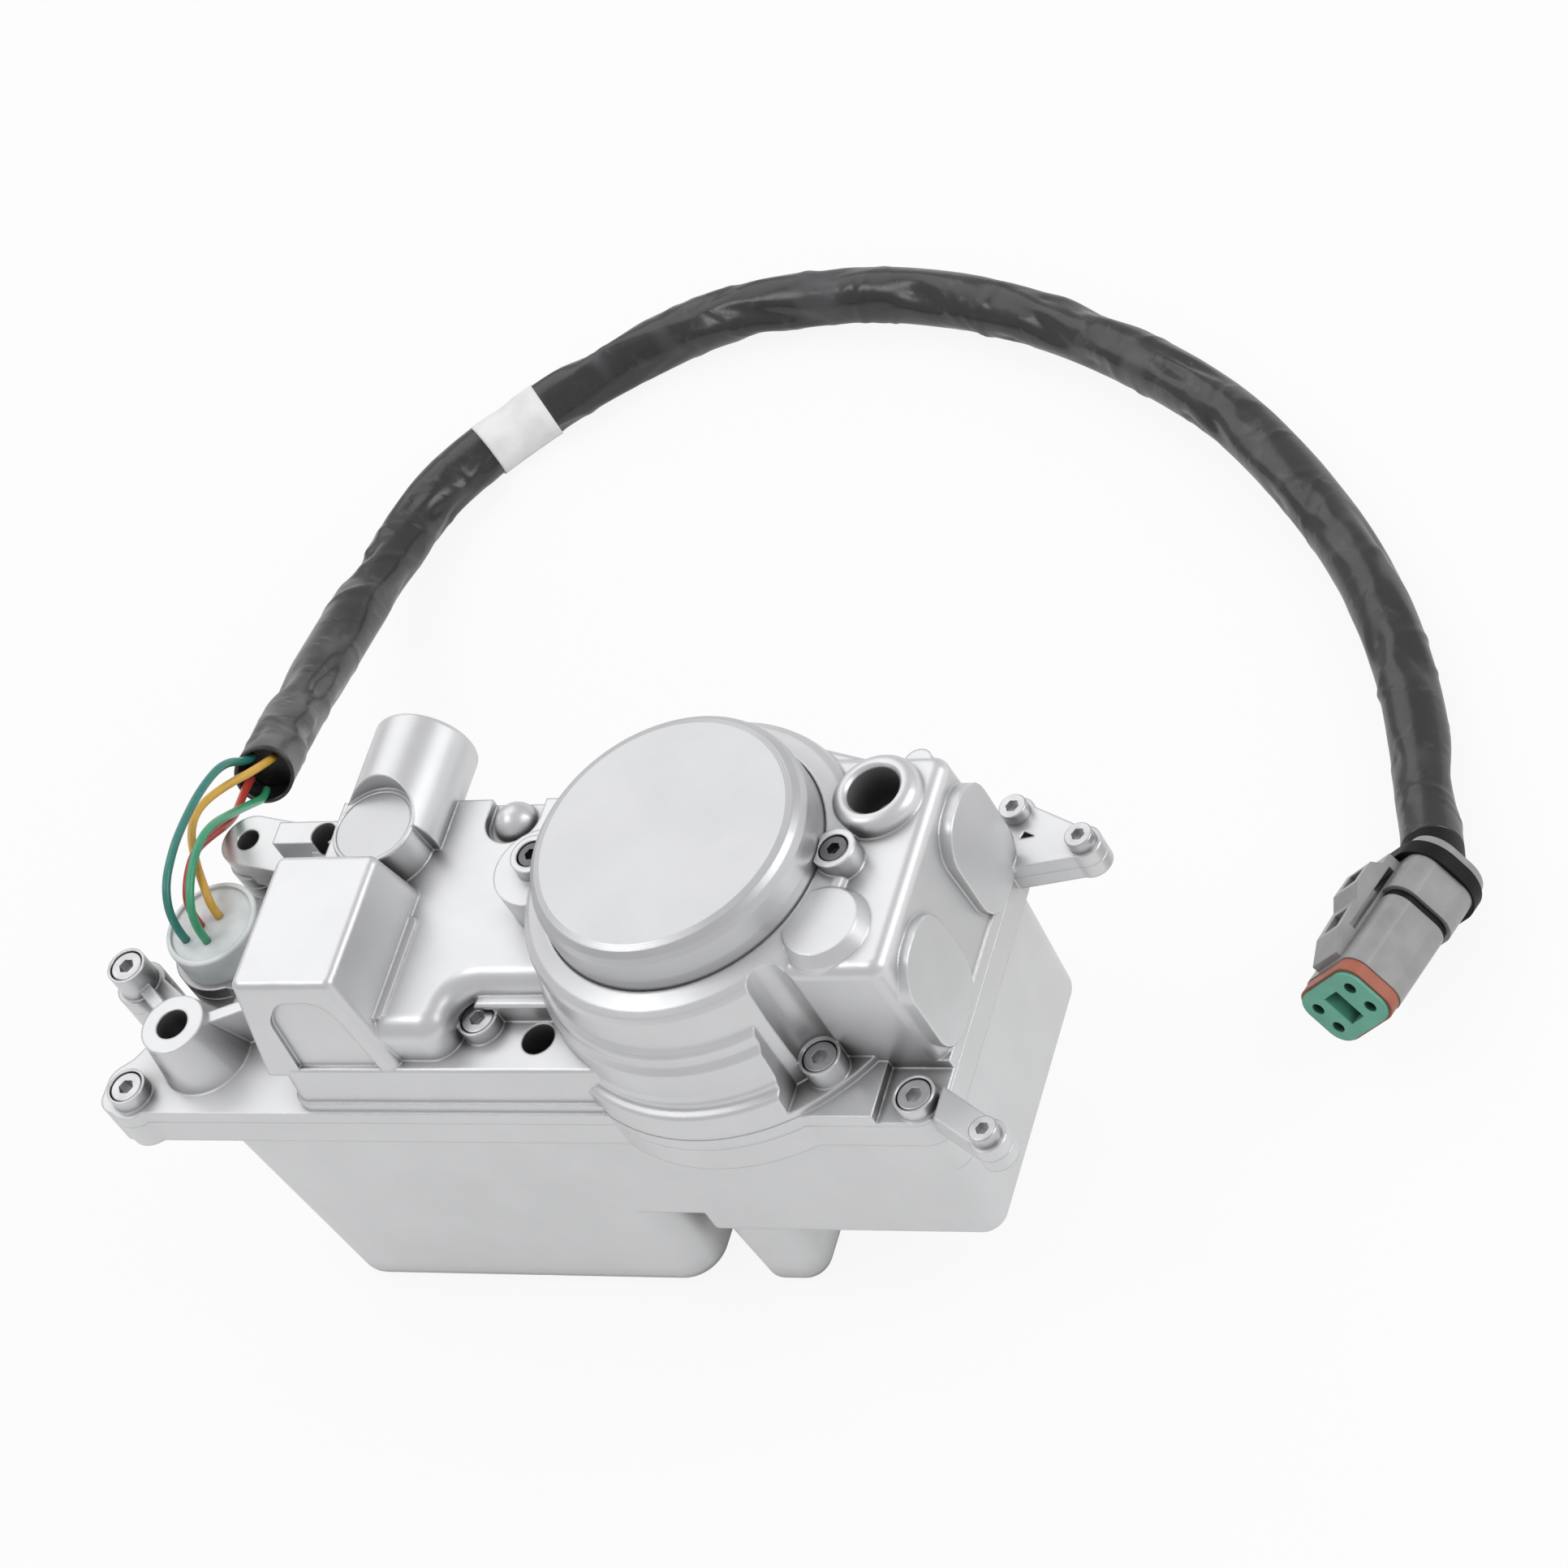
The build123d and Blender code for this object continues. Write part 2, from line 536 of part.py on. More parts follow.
def upper_bosses():
    """Bosses, ears and pads on the upper housing."""
    items = [rod(x, y, SPLIT_Z + 0.5, top, SCREW_BOSS_R) for x, y, top in HOUSING_SCREWS]
    cone = loft([Pos(-144.2, -26.4, SPLIT_Z + 2) * Circle(12.4),
                 Pos(*TEARDROP, TEARDROP_TOP) * Circle(TEARDROP_R)])
    items.append(cone)
    items.append(web(TEARDROP, (-115.0, -14.0), 1.6, SPLIT_Z + 2, TEARDROP_TOP - 2))
    items.append(web(TEARDROP, HOUSING_SCREWS[1][:2], 1.6, SPLIT_Z + 2, PLATE_TOP + 3))
    boss = rod(RING_BOSS[0], RING_BOSS[1], HIGH_DECK_Z - 4, RING_TOP, RING_R)
    items.append(ring_web())
    items.append(fillet(boss.edges().group_by(Axis.Z)[-1], 3.2))
    items.append(turned([(0, 106.0), (11.4, 106.0), (11.2, 112.2), (9.3, 115.4), (0, 115.4)], 40.4, -16.6))
    for x, y in EAR_SCREWS:
        items.append(rod(x, y, DECK_Z - 2, EAR_TOP, EAR_R))
    items.append(rod(-EAR_X - 0.5, EAR_Y - 0.8, DECK_Z - 2, EAR_TOP - 4.2, 11.0))
    items.append(web(EAR_HOLE, (-134.0, 30.0), 7.4, SPLIT_Z + 2, EAR_HOLE_TOP))
    items.append(rod(POCKET_HOLE[0], POCKET_HOLE[1], SPLIT_Z + 2, SHELF_Z2 - 1, BOLT_R + BOLT_WALL))
    rib = bar(-58.0, -37.0, -26.5, -20.0, SHELF_Z2 - 2, 96.5)
    items.append(fillet(rib.edges().group_by(Axis.Z)[-1], 1.0))
    items.append(bar(-136.0, -117.0, 25.0, LIP_Y1 - 2.6, SPLIT_Z + 2, 92.0))
    items.append(rod(-121.9, 27.6, SPLIT_Z + 2, 88.0, 5.6))
    items.append(rod(50.2, 30.4, SPLIT_Z + 2, HIGH_DECK_Z - 0.6, 3.6))
    items.append(lift(slab(-83.0, -77.3, -34.0, -5.0, 0, 1.2), DECK_Z - 2, DECK_Z + 0.7))
    items.append(side_pad(9.0, HIGH_Y1 - 0.6, SIDE_PAD_X))
    items.append(side_pad(HIGH_Y0 + 0.8, -4.8, SIDE_PAD_X - 0.9))
    return items


def upper_cavity():
    """Space inside the upper housing: the bays beside the motor and the stator bore."""
    w = CAST_WALL
    z0 = SPLIT_Z - 1
    left = bar(SHELF_X0 + w + 1.6, -20, LIP_Y0 + 3.4 + w, TUB_Y1 - w - 0.6, z0, SHELF_Z2 - w)
    left += bar(SHELF_X0 + w + 1.6, -20, -14.0, TUB_Y1 - w - 0.6, SHELF_Z2 - w - 1, DECK_Z - w)
    left += loft([slab(-112.0, -80.5, -36.6, 0.5, SHELF_Z2 - w - 1, 1.0),
                  slab(-107.6, -86.4, -32.6, -0.6, BLOCK_TOP - w, 1.0)], ruled=True)
    left -= rod(ELBOW_X, ELBOW_Y, z0 - 1, CAP_TOP, ELBOW_R + 2)
    left -= bar(PIPE_X - PIPE_R, PIPE_X + PIPE_R, ELBOW_Y, TUB_Y1 + 1, PIPE_Z - PIPE_R, CAP_TOP)
    right = bar(HIGH_X0, HIGH_X1 - w, HIGH_Y0 + w, HIGH_Y1 - w, z0, HIGH_DECK_Z - w - 0.6)
    cavity = left + right - rod(0, 0, z0 - 1, CAP_TOP, END_PLATE_R + w)
    cavity -= rod(RING_BOSS[0], RING_BOSS[1], z0 - 1, CAP_TOP, RING_MOUTH_R + 2.4)
    for x, y, top in HOUSING_SCREWS:
        cavity -= rod(x, y, z0 - 1, top, SCREW_BOSS_R)
    cavity -= rod(POCKET_HOLE[0], POCKET_HOLE[1], z0 - 1, CAP_TOP, BOLT_R + BOLT_WALL)
    cavity += rod(0, 0, STATOR_Z, CAP_TOP, STATOR_R + FIT)
    cavity += rod(0, 0, z0, STATOR_Z + 1, STATOR_R - YOKE_T + 2.0)
    return cavity + rod(0, 0, z0, SPLIT_Z + END_PLATE_T, END_PLATE_R + FIT)


def end_plate_screws():
    """Places of the three screws of the motor end plate."""
    angles = [math.radians(30 + 120 * k) for k in range(3)]
    return [(END_PLATE_SCREW_R * math.cos(a), END_PLATE_SCREW_R * math.sin(a)) for a in angles]


def front_pits():
    """Cuts in front of the high deck: the step round one screw boss and the open corner round the other."""
    x, y, top = STEP_SCREW
    step = lift(slab(PIT_X0, PIT_X1, LIP_Y0 - 12, HIGH_Y0, 0, 2.0), STEP_PIT_Z, HIGH_DECK_Z)
    step = step - [rod(0, 0, STEP_PIT_Z - 1, HIGH_DECK_Z + 1, 43.1),
                   rod(x, y, STEP_PIT_Z - 1, top, SCREW_BOSS_R)]
    scallop = rod(x, y, top, CAP_TOP, M5[1] + 1.0)
    x, y, top = CORNER_SCREW
    corner = bar(PIT_X1 + 0.4, LIP_X1 + 0.2, LIP_Y0 - 0.2, HIGH_Y0, CORNER_PIT_Z, HIGH_DECK_Z)
    corner = corner - rod(x, y, CORNER_PIT_Z - 1, top, SCREW_BOSS_R)
    return [step, scallop, corner]


def upper_housing():
    """Cast upper housing with the motor barrel, block, coolant channel and bosses."""
    body = joined(upper_shapes(), block(), *coolant_channel(), *upper_bosses())
    notch = web((-61.0, 24.0), (-61.0, 34.5), 7.5, DECK_Z - 2.4, DECK_Z + 2)
    body = body - [upper_cavity(), notch] - front_pits()
    dome = Pos(-61.0, 23.8, DECK_Z - 2.8) * Sphere(5.6)
    return joined(body, rod(-61.0, 23.8, DECK_Z - CAST_WALL - 0.5, DECK_Z - 2.0, 5.6), dome) - upper_holes()


def upper_holes():
    """Bolt holes, screw seats, coolant bores and the cap's seat in the upper housing."""
    port_y = PIPE_Y1 - PORT_DEPTH
    rx, ry = RING_BOSS
    lip_z, rim_z, rim_r = RING_TOP - RING_LIP, RING_TOP + RING_LIP, RING_MOUTH_R + 2 * RING_LIP
    stub = Pos(PIPE_X, (port_y + PIPE_Y1 + 1) / 2, PIPE_Z) * Rot(90, 0, 0)
    passage = Pos(PIPE_X, (ELBOW_Y + port_y + 1) / 2, PIPE_Z) * Rot(90, 0, 0)
    cuts = [rod(TEARDROP[0], TEARDROP[1], SPLIT_Z - 1, TEARDROP_TOP + 1, BOLT_R),
            rod(rx, ry, SPLIT_Z - 1, RING_TOP + 1, BOLT_R),
            rod(rx, ry, RING_TOP - RING_MOUTH_DEPTH, RING_TOP + 1, RING_MOUTH_R),
            turned([(0, lip_z), (RING_MOUTH_R, lip_z), (rim_r, rim_z), (0, rim_z)], rx, ry),
            rod(POCKET_HOLE[0], POCKET_HOLE[1], SPLIT_Z + BOLT_WALL, SHELF_Z2 + 2, BOLT_R),
            rod(EAR_HOLE[0], EAR_HOLE[1], SPLIT_Z - 1, EAR_HOLE_TOP + 1, EAR_BOLT_R),
            rod(-121.9, 27.6, 84.0, 93.0, 3.4),
            stub * Cylinder(PIPE_BORE_R, PORT_DEPTH + 1),
            passage * Cylinder(PASSAGE_R, port_y + 1 - ELBOW_Y),
            rod(ELBOW_X, ELBOW_Y, PIPE_Z - PASSAGE_R - 2, ELBOW_TOP - PLUG_T, ELBOW_BORE_R),
            rod(ELBOW_X, ELBOW_Y, ELBOW_TOP - PLUG_T, ELBOW_TOP + 1, PLUG_R),
            rod(GROMMET[0], GROMMET[1], SPLIT_Z - 1, PLATE_TOP + 1, GROMMET_STEM_R + FIT),
            rod(0, 0, CAP_SEAT_Z, CAP_TOP, CAP_R + CAP_GAP)]
    cuts += [rod(x, y, SPLIT_Z - 1, PLATE_TOP + 1, M4[0] + HEAD_GAP) for x, y in TAB_SCREWS]
    for x, y, top in HOUSING_SCREWS:
        cuts.append(rod(x, y, SPLIT_Z - 1, top + 1, M5[0] + HEAD_GAP))
        cuts.append(rod(x, y, top - M5[2] - HEAD_SINK, top + 1, M5[1] + HEAD_GAP))
    for x, y in EAR_SCREWS:
        cuts.append(rod(x, y, EAR_TOP - 16, EAR_TOP + 1, M4[0]))
        cuts.append(rod(x, y, EAR_TOP - M4[2] - HEAD_SINK, EAR_TOP + 1, M4[1] + HEAD_GAP))
    cuts += [rod(x, y, SPLIT_Z, SPLIT_Z + END_PLATE_T + 5.0, M3[0]) for x, y in end_plate_screws()]
    return cuts


def housing_screws():
    """Screws that hold the housings together, in the bosses, ears and tabs."""
    screws = []
    for x, y, top in HOUSING_SCREWS:
        seat = top - M5[2] - HEAD_SINK
        reach = SCREW_DEPTH - 1.0 if (x, y, top) in INNER_SCREWS else FLANGE_T - 0.5
        screws.append(socket_screw(M5, seat - SPLIT_Z + reach, x, y, seat))
    screws += [socket_screw(M4, PLATE_T + TAB_T - 0.5, x, y, PLATE_TOP) for x, y in TAB_SCREWS]
    return Part() + screws


def motor_cover_screws():
    """Screws down in the two ears beside the motor cap."""
    seat = EAR_TOP - M4[2] - HEAD_SINK
    return Part() + [socket_screw(M4, 11.0, x, y, seat) for x, y in EAR_SCREWS]


def housing_seal():
    """Seal strip in the groove round the mouth of the lower housing."""
    return lift(seal_strip(0.1), SPLIT_Z - 1.6, SPLIT_Z)


def motor_cover():
    """Round motor cap with its spigot, bearing seat and seal groove."""
    r_bore = STATOR_R
    z_ceiling = CAP_TOP - CAP_T
    r_seat = ROTOR_BEARING[1] + FIT
    points = [(0, CAP_TOP), (CAP_FACE_R, CAP_TOP), (32.8, 127.5), (34.1, 126.3), (34.9, 124.3),
              (CAP_R, 119.0), (CAP_R, CAP_SEAT_Z), (r_bore, CAP_SEAT_Z), (r_bore, 112.6),
              (r_bore - 1.2, 112.6),
              (r_bore - 1.2, 110.6), (r_bore, 110.6), (r_bore, STATOR_TOP + END_GAP),
              (r_bore - SPIGOT_WALL, STATOR_TOP + END_GAP), (r_bore - SPIGOT_WALL, z_ceiling - 4),
              (r_bore - SPIGOT_WALL - 3, z_ceiling), (r_seat + HUB_WALL + 1, z_ceiling),
              (r_seat + HUB_WALL, z_ceiling - 1), (r_seat + HUB_WALL, ROTOR_TOP_Z), (r_seat, ROTOR_TOP_Z),
              (r_seat, ROTOR_TOP_Z + ROTOR_BEARING[2]), (8.0, ROTOR_TOP_Z + ROTOR_BEARING[2]),
              (8.0, z_ceiling), (0, z_ceiling)]
    return turned(points)


def cover_seal():
    """Seal ring in the groove of the cap's spigot."""
    return tube(0, 0, 110.7, 112.5, STATOR_R + FIT, STATOR_R - 1.2 + FIT)


def motor_stator():
    """Laminated stator ring with its teeth."""
    ring = tube(0, 0, STATOR_Z, STATOR_TOP, STATOR_R, STATOR_R - YOKE_T)
    inner_r = ROTOR_R + AIR_GAP
    for k in range(STATOR_TEETH):
        tooth = bar(inner_r + 0.1, STATOR_R - YOKE_T + 0.5, -TOOTH_W / 2, TOOTH_W / 2, STATOR_Z, STATOR_TOP)
        shoe = bar(inner_r, inner_r + 1.2, -TOOTH_W / 2 - 1.2, TOOTH_W / 2 + 1.2, STATOR_Z, STATOR_TOP)
        ring += Rot(0, 0, 360.0 * k / STATOR_TEETH) * (tooth + shoe)
    return ring - rod(0, 0, STATOR_Z - 1, STATOR_TOP + 1, inner_r)


def motor_windings():
    """One copper coil round each stator tooth."""
    x0 = ROTOR_R + AIR_GAP + 1.3
    x1 = STATOR_R - YOKE_T - 0.8
    coil = bar(x0, x1, -COIL_W / 2, COIL_W / 2, STATOR_Z - COIL_OVER, STATOR_TOP + COIL_OVER)
    coil = fillet(coil.edges().filter_by(Axis.X), 2.2)
    coil -= bar(x0 - 1, x1 + 1, -TOOTH_W / 2 - 0.1, TOOTH_W / 2 + 0.1, STATOR_Z - 0.1, STATOR_TOP + 0.1)
    return Part() + [Rot(0, 0, 360.0 * k / STATOR_TEETH) * coil for k in range(STATOR_TEETH)]


def motor_end_plate():
    """Plate under the motor, with the seat of the lower rotor bearing in its hub."""
    seat_r = ROTOR_BEARING[1] + FIT
    body = rod(0, 0, SPLIT_Z + 0.2, SPLIT_Z + END_PLATE_T, END_PLATE_R)
    body += rod(0, 0, ROTOR_LOW_Z - 1.2, SPLIT_Z + END_PLATE_T, seat_r + HUB_WALL)
    body -= rod(0, 0, ROTOR_LOW_Z - 3, SPLIT_Z + 10, SHAFT_R + 3.0)
    body -= rod(0, 0, ROTOR_LOW_Z, SPLIT_Z + 10, seat_r)
    for x, y in end_plate_screws():
        body -= rod(x, y, SPLIT_Z - 1, SPLIT_Z + 10, M3[0] + 0.2)
        body -= rod(x, y, SPLIT_Z - 1, SPLIT_Z + M3[2] + 0.2, M3[1] + HEAD_GAP)
    return body


def rotor_shaft():
    """Motor shaft with its collars and the pinion cut on its lower end."""
    pinion_top = WHEEL_Z + WHEEL_H + 2.0
    core_z0 = STATOR_Z - CORE_OVER
    core_z1 = STATOR_TOP + CORE_OVER
    body = rod(0, 0, pinion_top - 0.2, ROTOR_TOP_Z + ROTOR_BEARING[2] - 0.4, SHAFT_R)
    body += rod(0, 0, ROTOR_LOW_Z + ROTOR_BEARING[2] + END_GAP, core_z0, COLLAR_R)
    body += rod(0, 0, core_z1, ROTOR_TOP_Z - END_GAP, COLLAR_R)
    z0 = WHEEL_Z - MOTOR_PINION_DROP
    start = LAY_ANGLE + 180.0 / PINION_TEETH
    return body + gear(FAST_MODULE, PINION_TEETH, start, 0, 0, z0, pinion_top - z0)


def rotor_core():
    """Steel core of the rotor, between the shaft's collars."""
    return tube(0, 0, STATOR_Z - CORE_OVER, STATOR_TOP + CORE_OVER, ROTOR_R - MAGNET_T, SHAFT_R)


def rotor_magnets():
    """Magnet tiles round the rotor core."""
    tile = tube(0, 0, STATOR_Z - CORE_OVER, STATOR_TOP + CORE_OVER, ROTOR_R, ROTOR_R - MAGNET_T)
    for k in range(ROTOR_POLES // 2):
        slot = Box(2 * ROTOR_R + 2, 0.8, 200.0)
        tile -= Pos(0, 0, STATOR_Z) * Rot(0, 0, 360.0 * k / ROTOR_POLES) * slot
    return tile


def reduction_gear():
    """Wheel and pinion in one piece, turning on the intermediate pin."""
    wheel = gear(FAST_MODULE, WHEEL_TEETH, LAY_ANGLE - 180.0, LAY_X, LAY_Y, WHEEL_Z, WHEEL_H)
    pinion = gear(SLOW_MODULE, PINION_TEETH, OUTPUT_ANGLE + 180.0 / PINION_TEETH, LAY_X, LAY_Y,
                  LAY_SEAT_Z + END_GAP, WHEEL_Z - LAY_SEAT_Z - END_GAP + 0.2)
    hub = rod(LAY_X, LAY_Y, WHEEL_Z + WHEEL_H - 0.2, BRIDGE_Z - END_GAP, LAY_HUB_R)
    body = wheel + pinion + hub
    recess = tube(LAY_X, LAY_Y, WHEEL_Z + WHEEL_H - 1.6, WHEEL_Z + WHEEL_H + 1, 14.6, LAY_HUB_R + 1.4)
    return body - recess - rod(LAY_X, LAY_Y, LAY_SEAT_Z - 1, BRIDGE_TOP, LAY_PIN_R + FIT)


def output_gear():
    """Output gear with its web recess, pressed on the output shaft."""
    z0 = OUTPUT_GEAR_Z
    body = gear(SLOW_MODULE, OUTPUT_TEETH, OUTPUT_ANGLE + 180.0, OUT_X, OUT_Y, z0, OUTPUT_GEAR_H)
    body += rod(OUT_X, OUT_Y, OUT_BEARING_Z + OUTPUT_BEARING[2] + END_GAP, z0 + 0.2, OUTPUT_BEARING[0] + 2.4)
    body -= tube(OUT_X, OUT_Y, z0 + OUTPUT_GEAR_H - 2.4, z0 + OUTPUT_GEAR_H + 1, 18.4, 10.0)
    for k in range(6):
        angle = math.radians(60 * k + 15)
        x = OUT_X + 14.2 * math.cos(angle)
        y = OUT_Y + 14.2 * math.sin(angle)
        body -= rod(x, y, z0 - 1, z0 + OUTPUT_GEAR_H, 2.6)
    return body - rod(OUT_X, OUT_Y, z0 - 10, z0 + OUTPUT_GEAR_H + 1, OUTPUT_BEARING[0])


def output_shaft():
    """Output shaft with the driving pinion below the housing."""
    r = OUTPUT_BEARING[0]
    journal_z = BRIDGE_TOP - BRIDGE_BEARING[2] - 0.4
    body = rod(OUT_X, OUT_Y, DRIVE_Z + DRIVE_H, journal_z, r)
    body += rod(OUT_X, OUT_Y, journal_z - 0.2, BRIDGE_TOP - END_GAP, BRIDGE_BEARING[0])
    body += rod(OUT_X, OUT_Y, DRIVE_Z + DRIVE_H - 0.2, SHALLOW_Z - 0.6, r + 2.4)
    teeth = gear(DRIVE_MODULE, DRIVE_TEETH, 0.0, OUT_X, OUT_Y, DRIVE_Z, DRIVE_H)
    lead = rod(OUT_X, OUT_Y, DRIVE_Z - 1, DRIVE_Z + DRIVE_H + 1, DRIVE_MODULE * DRIVE_TEETH / 2 + 1.2)
    lead = chamfer(lead.edges().group_by(Axis.Z)[0], 2.2)
    return body + (teeth & lead)


def bearing_bridge():
    """Plate over the gears that holds the tops of the output shaft and the intermediate pin."""
    rounds = [Pos(x, y) * Circle(BRIDGE_R) for x, y in BRIDGE_POSTS]
    edges = rounds[0].edges()
    for face in rounds[1:]:
        edges += face.edges()
    plan = make_hull(edges)
    for x, y, top in INNER_SCREWS:
        plan -= Pos(x, y) * Circle(POST_R + 1.2)
    plan -= Pos(RING_BOSS[0], RING_BOSS[1]) * Circle(BOLT_R + BOLT_WALL + 1.2)
    plan -= Circle(SHAFT_R + 2.5)
    plan &= slab(DEEP_X1 - 12, TUB_X1 - WALL - 1, TUB_Y0 + WALL + 0.5, TUB_Y1 - WALL - 0.5, 0, 5.0)
    body = lift(plan, BRIDGE_Z, BRIDGE_TOP)
    seat_z = BRIDGE_TOP - BRIDGE_BEARING[2]
    body += rod(OUT_X, OUT_Y, seat_z, BRIDGE_TOP, BRIDGE_BEARING[1] + 2.4)
    body -= rod(OUT_X, OUT_Y, seat_z - 1, BRIDGE_TOP + 1, BRIDGE_BEARING[1] + FIT)
    body -= rod(LAY_X, LAY_Y, BRIDGE_Z - 1, BRIDGE_TOP + 1, LAY_PIN_R)
    for x, y in BRIDGE_POSTS:
        body -= rod(x, y, BRIDGE_Z - 1, BRIDGE_TOP + 1, M4[0] + 0.2)
    return body


def position_magnet():
    """Magnet disc on the top of the output shaft."""
    return rod(OUT_X, OUT_Y, BRIDGE_TOP - END_GAP, BRIDGE_TOP - END_GAP + MAGNET_H, MAGNET_R)


def board_face():
    """Plan of the circuit board, clear of the walls of the board bay."""
    lean = END_DRAFT * (1 - BOARD_Z / SPLIT_Z)
    x0 = TUB_X0 + WALL + lean + BOARD_GAP
    x1 = DEEP_X1 - WALL - BOARD_GAP
    return slab(x0, x1, TUB_Y0 + WALL + BOARD_GAP, TUB_Y1 - WALL - BOARD_GAP, 0, 6.0)


def circuit_board():
    """Board on the four posts of the deep bay."""
    body = lift(board_face(), BOARD_Z, BOARD_Z + BOARD_T)
    for x, y in BOARD_POSTS:
        body -= rod(x, y, BOARD_Z - 1, BOARD_Z + BOARD_T + 1, M3[0] + 0.2)
    return body


def capacitors():
    """Three upright capacitors on the board."""
    z = BOARD_Z + BOARD_T
    cans = []
    for x, y in ((-112.0, 12.0), (-94.0, 12.0), (-76.0, 12.0)):
        can = rod(x, y, z, z + CAPACITOR_H, CAPACITOR_R)
        cans.append(fillet(can.edges().group_by(Axis.Z)[-1], 0.8))
    return Part() + cans


def choke():
    """Ring choke lying on the board."""
    z = BOARD_Z + BOARD_T
    body = tube(-112.0, -14.0, z, z + CHOKE_H, CHOKE_R, CHOKE_R / 2)
    return fillet(body.edges().group_by(Axis.Z)[-1], 1.5)


def power_chips():
    """Power stages and the controller, flat on the board."""
    z = BOARD_Z + BOARD_T
    chips = [bar(x - 4, x + 4, y - 5, y + 5, z, z + 2.3)
             for x in (-86.0, -74.0, -62.0) for y in (-26.0, -12.0)]
    chips.append(bar(-56.0, -42.0, 0.0, 14.0, z, z + 1.4))
    return Part() + chips


def frame_at(origin, x_dir, z_dir):
    """Location whose local axes follow the two directions."""
    return Plane(origin=origin, x_dir=x_dir, z_dir=z_dir).location


CONNECTOR = frame_at(CONNECTOR_AT, CONNECTOR_SIDE, CONNECTOR_NOSE)


def layer(w, t, r, z0, z1):
    """Rounded block of the connector between two distances from its rear ring."""
    return lift(RectangleRounded(w, t, r), z0, z1)


def contact_places():
    """Places of the four contacts on the connector's face."""
    return [(sx * CONTACT_DX, sy * CONTACT_DY) for sx in (-1, 1) for sy in (-1, 1)]


def latch():
    """Latch lever on the connector's wide side, with its two windows."""
    y0 = SHELL_T / 2 - 0.6
    outline = Polyline((y0, 39.5), (y0 + 2.2, 39.5), (y0 + 5.0, 33.0), (y0 + 5.4, 24.0), (y0 + 7.6, 20.5),
                       (y0 + 7.6, 13.5), (y0 + 5.0, 11.5), (y0 + 5.0, 8.0), (y0, 8.0), close=True)
    lever = extrude(Pos(-5.5, 0, 0) * (Plane.YZ * make_face(outline)), amount=11.0, dir=(1, 0, 0))
    lever -= bar(-6, 6, y0 + 1.6, y0 + 3.2, 11.0, 31.0)
    lever -= bar(-3, 3, y0 + 1.6, y0 + 12, 26.0, 32.0)
    return lever - bar(-3, 3, y0 + 1.6, y0 + 12, 14.5, 19.0)


def connector_shell():
    """Grey connector body in two sections, with its rear ring and latch."""
    seal_z = CONNECTOR_L - WEDGE_LIP - FRONT_SEAL_L
    body = layer(SHELL_W, SHELL_T, 5.0, 19.5, seal_z)
    body += layer(SHELL_W - 2.4, SHELL_T - 2.4, 4.2, 17.0, 20.0)
    body += layer(SHELL_W + 1.6, SHELL_T + 1.6, 5.6, 6.5, 17.5)
    body += layer(16.0, 16.0, 7.9, 0.0, 7.0)
    body += layer(SHELL_W + 0.6, SHELL_T + 2.6, 7.5, -0.5, 2.5)
    body += latch()
    for x, y in contact_places():
        body -= rod(x, y, seal_z - 13.0, seal_z + 1, CONTACT_R)
    return CONNECTOR * body


def connector_boot():
    """Black flange ring, the band in the groove and the stub that grips the sleeve."""
    flange = layer(SHELL_W + 4.0, SHELL_T + 5.2, 9.5, 2.5, 6.5) - layer(16.0, 16.0, 7.9, 2.0, 7.0)
    band = layer(SHELL_W - 0.6, SHELL_T - 0.6, 4.8, 17.5, 19.5)
    band -= layer(SHELL_W - 2.4, SHELL_T - 2.4, 4.2, 17.0, 20.0)
    ring_part = CONNECTOR * (flange + (band - latch()))
    stub = frame_at(CONNECTOR_AT, CONNECTOR_SIDE, SLEEVE_END_DIR) * rod(0, 0, -REAR_STUB, 6.0, SLEEVE_R)
    stub -= CONNECTOR * rod(0, 0, -0.5, 20.0, 30.0)
    return ring_part + stub


def connector_seal():
    """Front seal round the wedge."""
    z1 = CONNECTOR_L - WEDGE_LIP
    outer = layer(SHELL_W - SHELL_RIM, SHELL_T - SHELL_RIM, 4.9, z1 - FRONT_SEAL_L, z1)
    return CONNECTOR * (outer - layer(SHELL_W - 4.6, SHELL_T - 4.6, 3.0, z1 - FRONT_SEAL_L - 1, z1 + 1))


def wedge_lock():
    """Green wedge with its four contact holes and the slot."""
    z1 = CONNECTOR_L - WEDGE_LIP
    body = layer(SHELL_W - 1.6, SHELL_T - 1.8, 4.8, z1, CONNECTOR_L)
    body += layer(SHELL_W - 4.6, SHELL_T - 4.6, 3.0, z1 - FRONT_SEAL_L, z1 + 0.2)
    for x, y in contact_places():
        body -= rod(x, y, z1 - FRONT_SEAL_L - 1, CONNECTOR_L + 1, CONTACT_R)
    return CONNECTOR * (body - bar(-2.8, 2.8, -4.4, 4.4, z1 - FRONT_SEAL_L + 0.8, CONNECTOR_L + 1))


def contact_sockets():
    """Four contact sleeves in the connector."""
    z0 = CONNECTOR_L - WEDGE_LIP - FRONT_SEAL_L - 13.0
    tubes = [tube(x, y, z0, CONNECTOR_L - 2.4, CONTACT_R, 0.9) for x, y in contact_places()]
    return CONNECTOR * (Part() + tubes)


def wire_grommet():
    """Potted cup that seals the wires where they leave the housing."""
    x, y = GROMMET
    cup = rod(x, y, PLATE_TOP, GROMMET_TOP, GROMMET_R)
    cup += rod(x, y, SPLIT_Z + 0.3, PLATE_TOP + 0.2, GROMMET_STEM_R)
    cup = fillet(cup.edges().group_by(Axis.Z)[-1], 0.8)
    return cup - rod(x, y, GROMMET_TOP - 0.8, GROMMET_TOP + 1, GROMMET_R - 1.4)


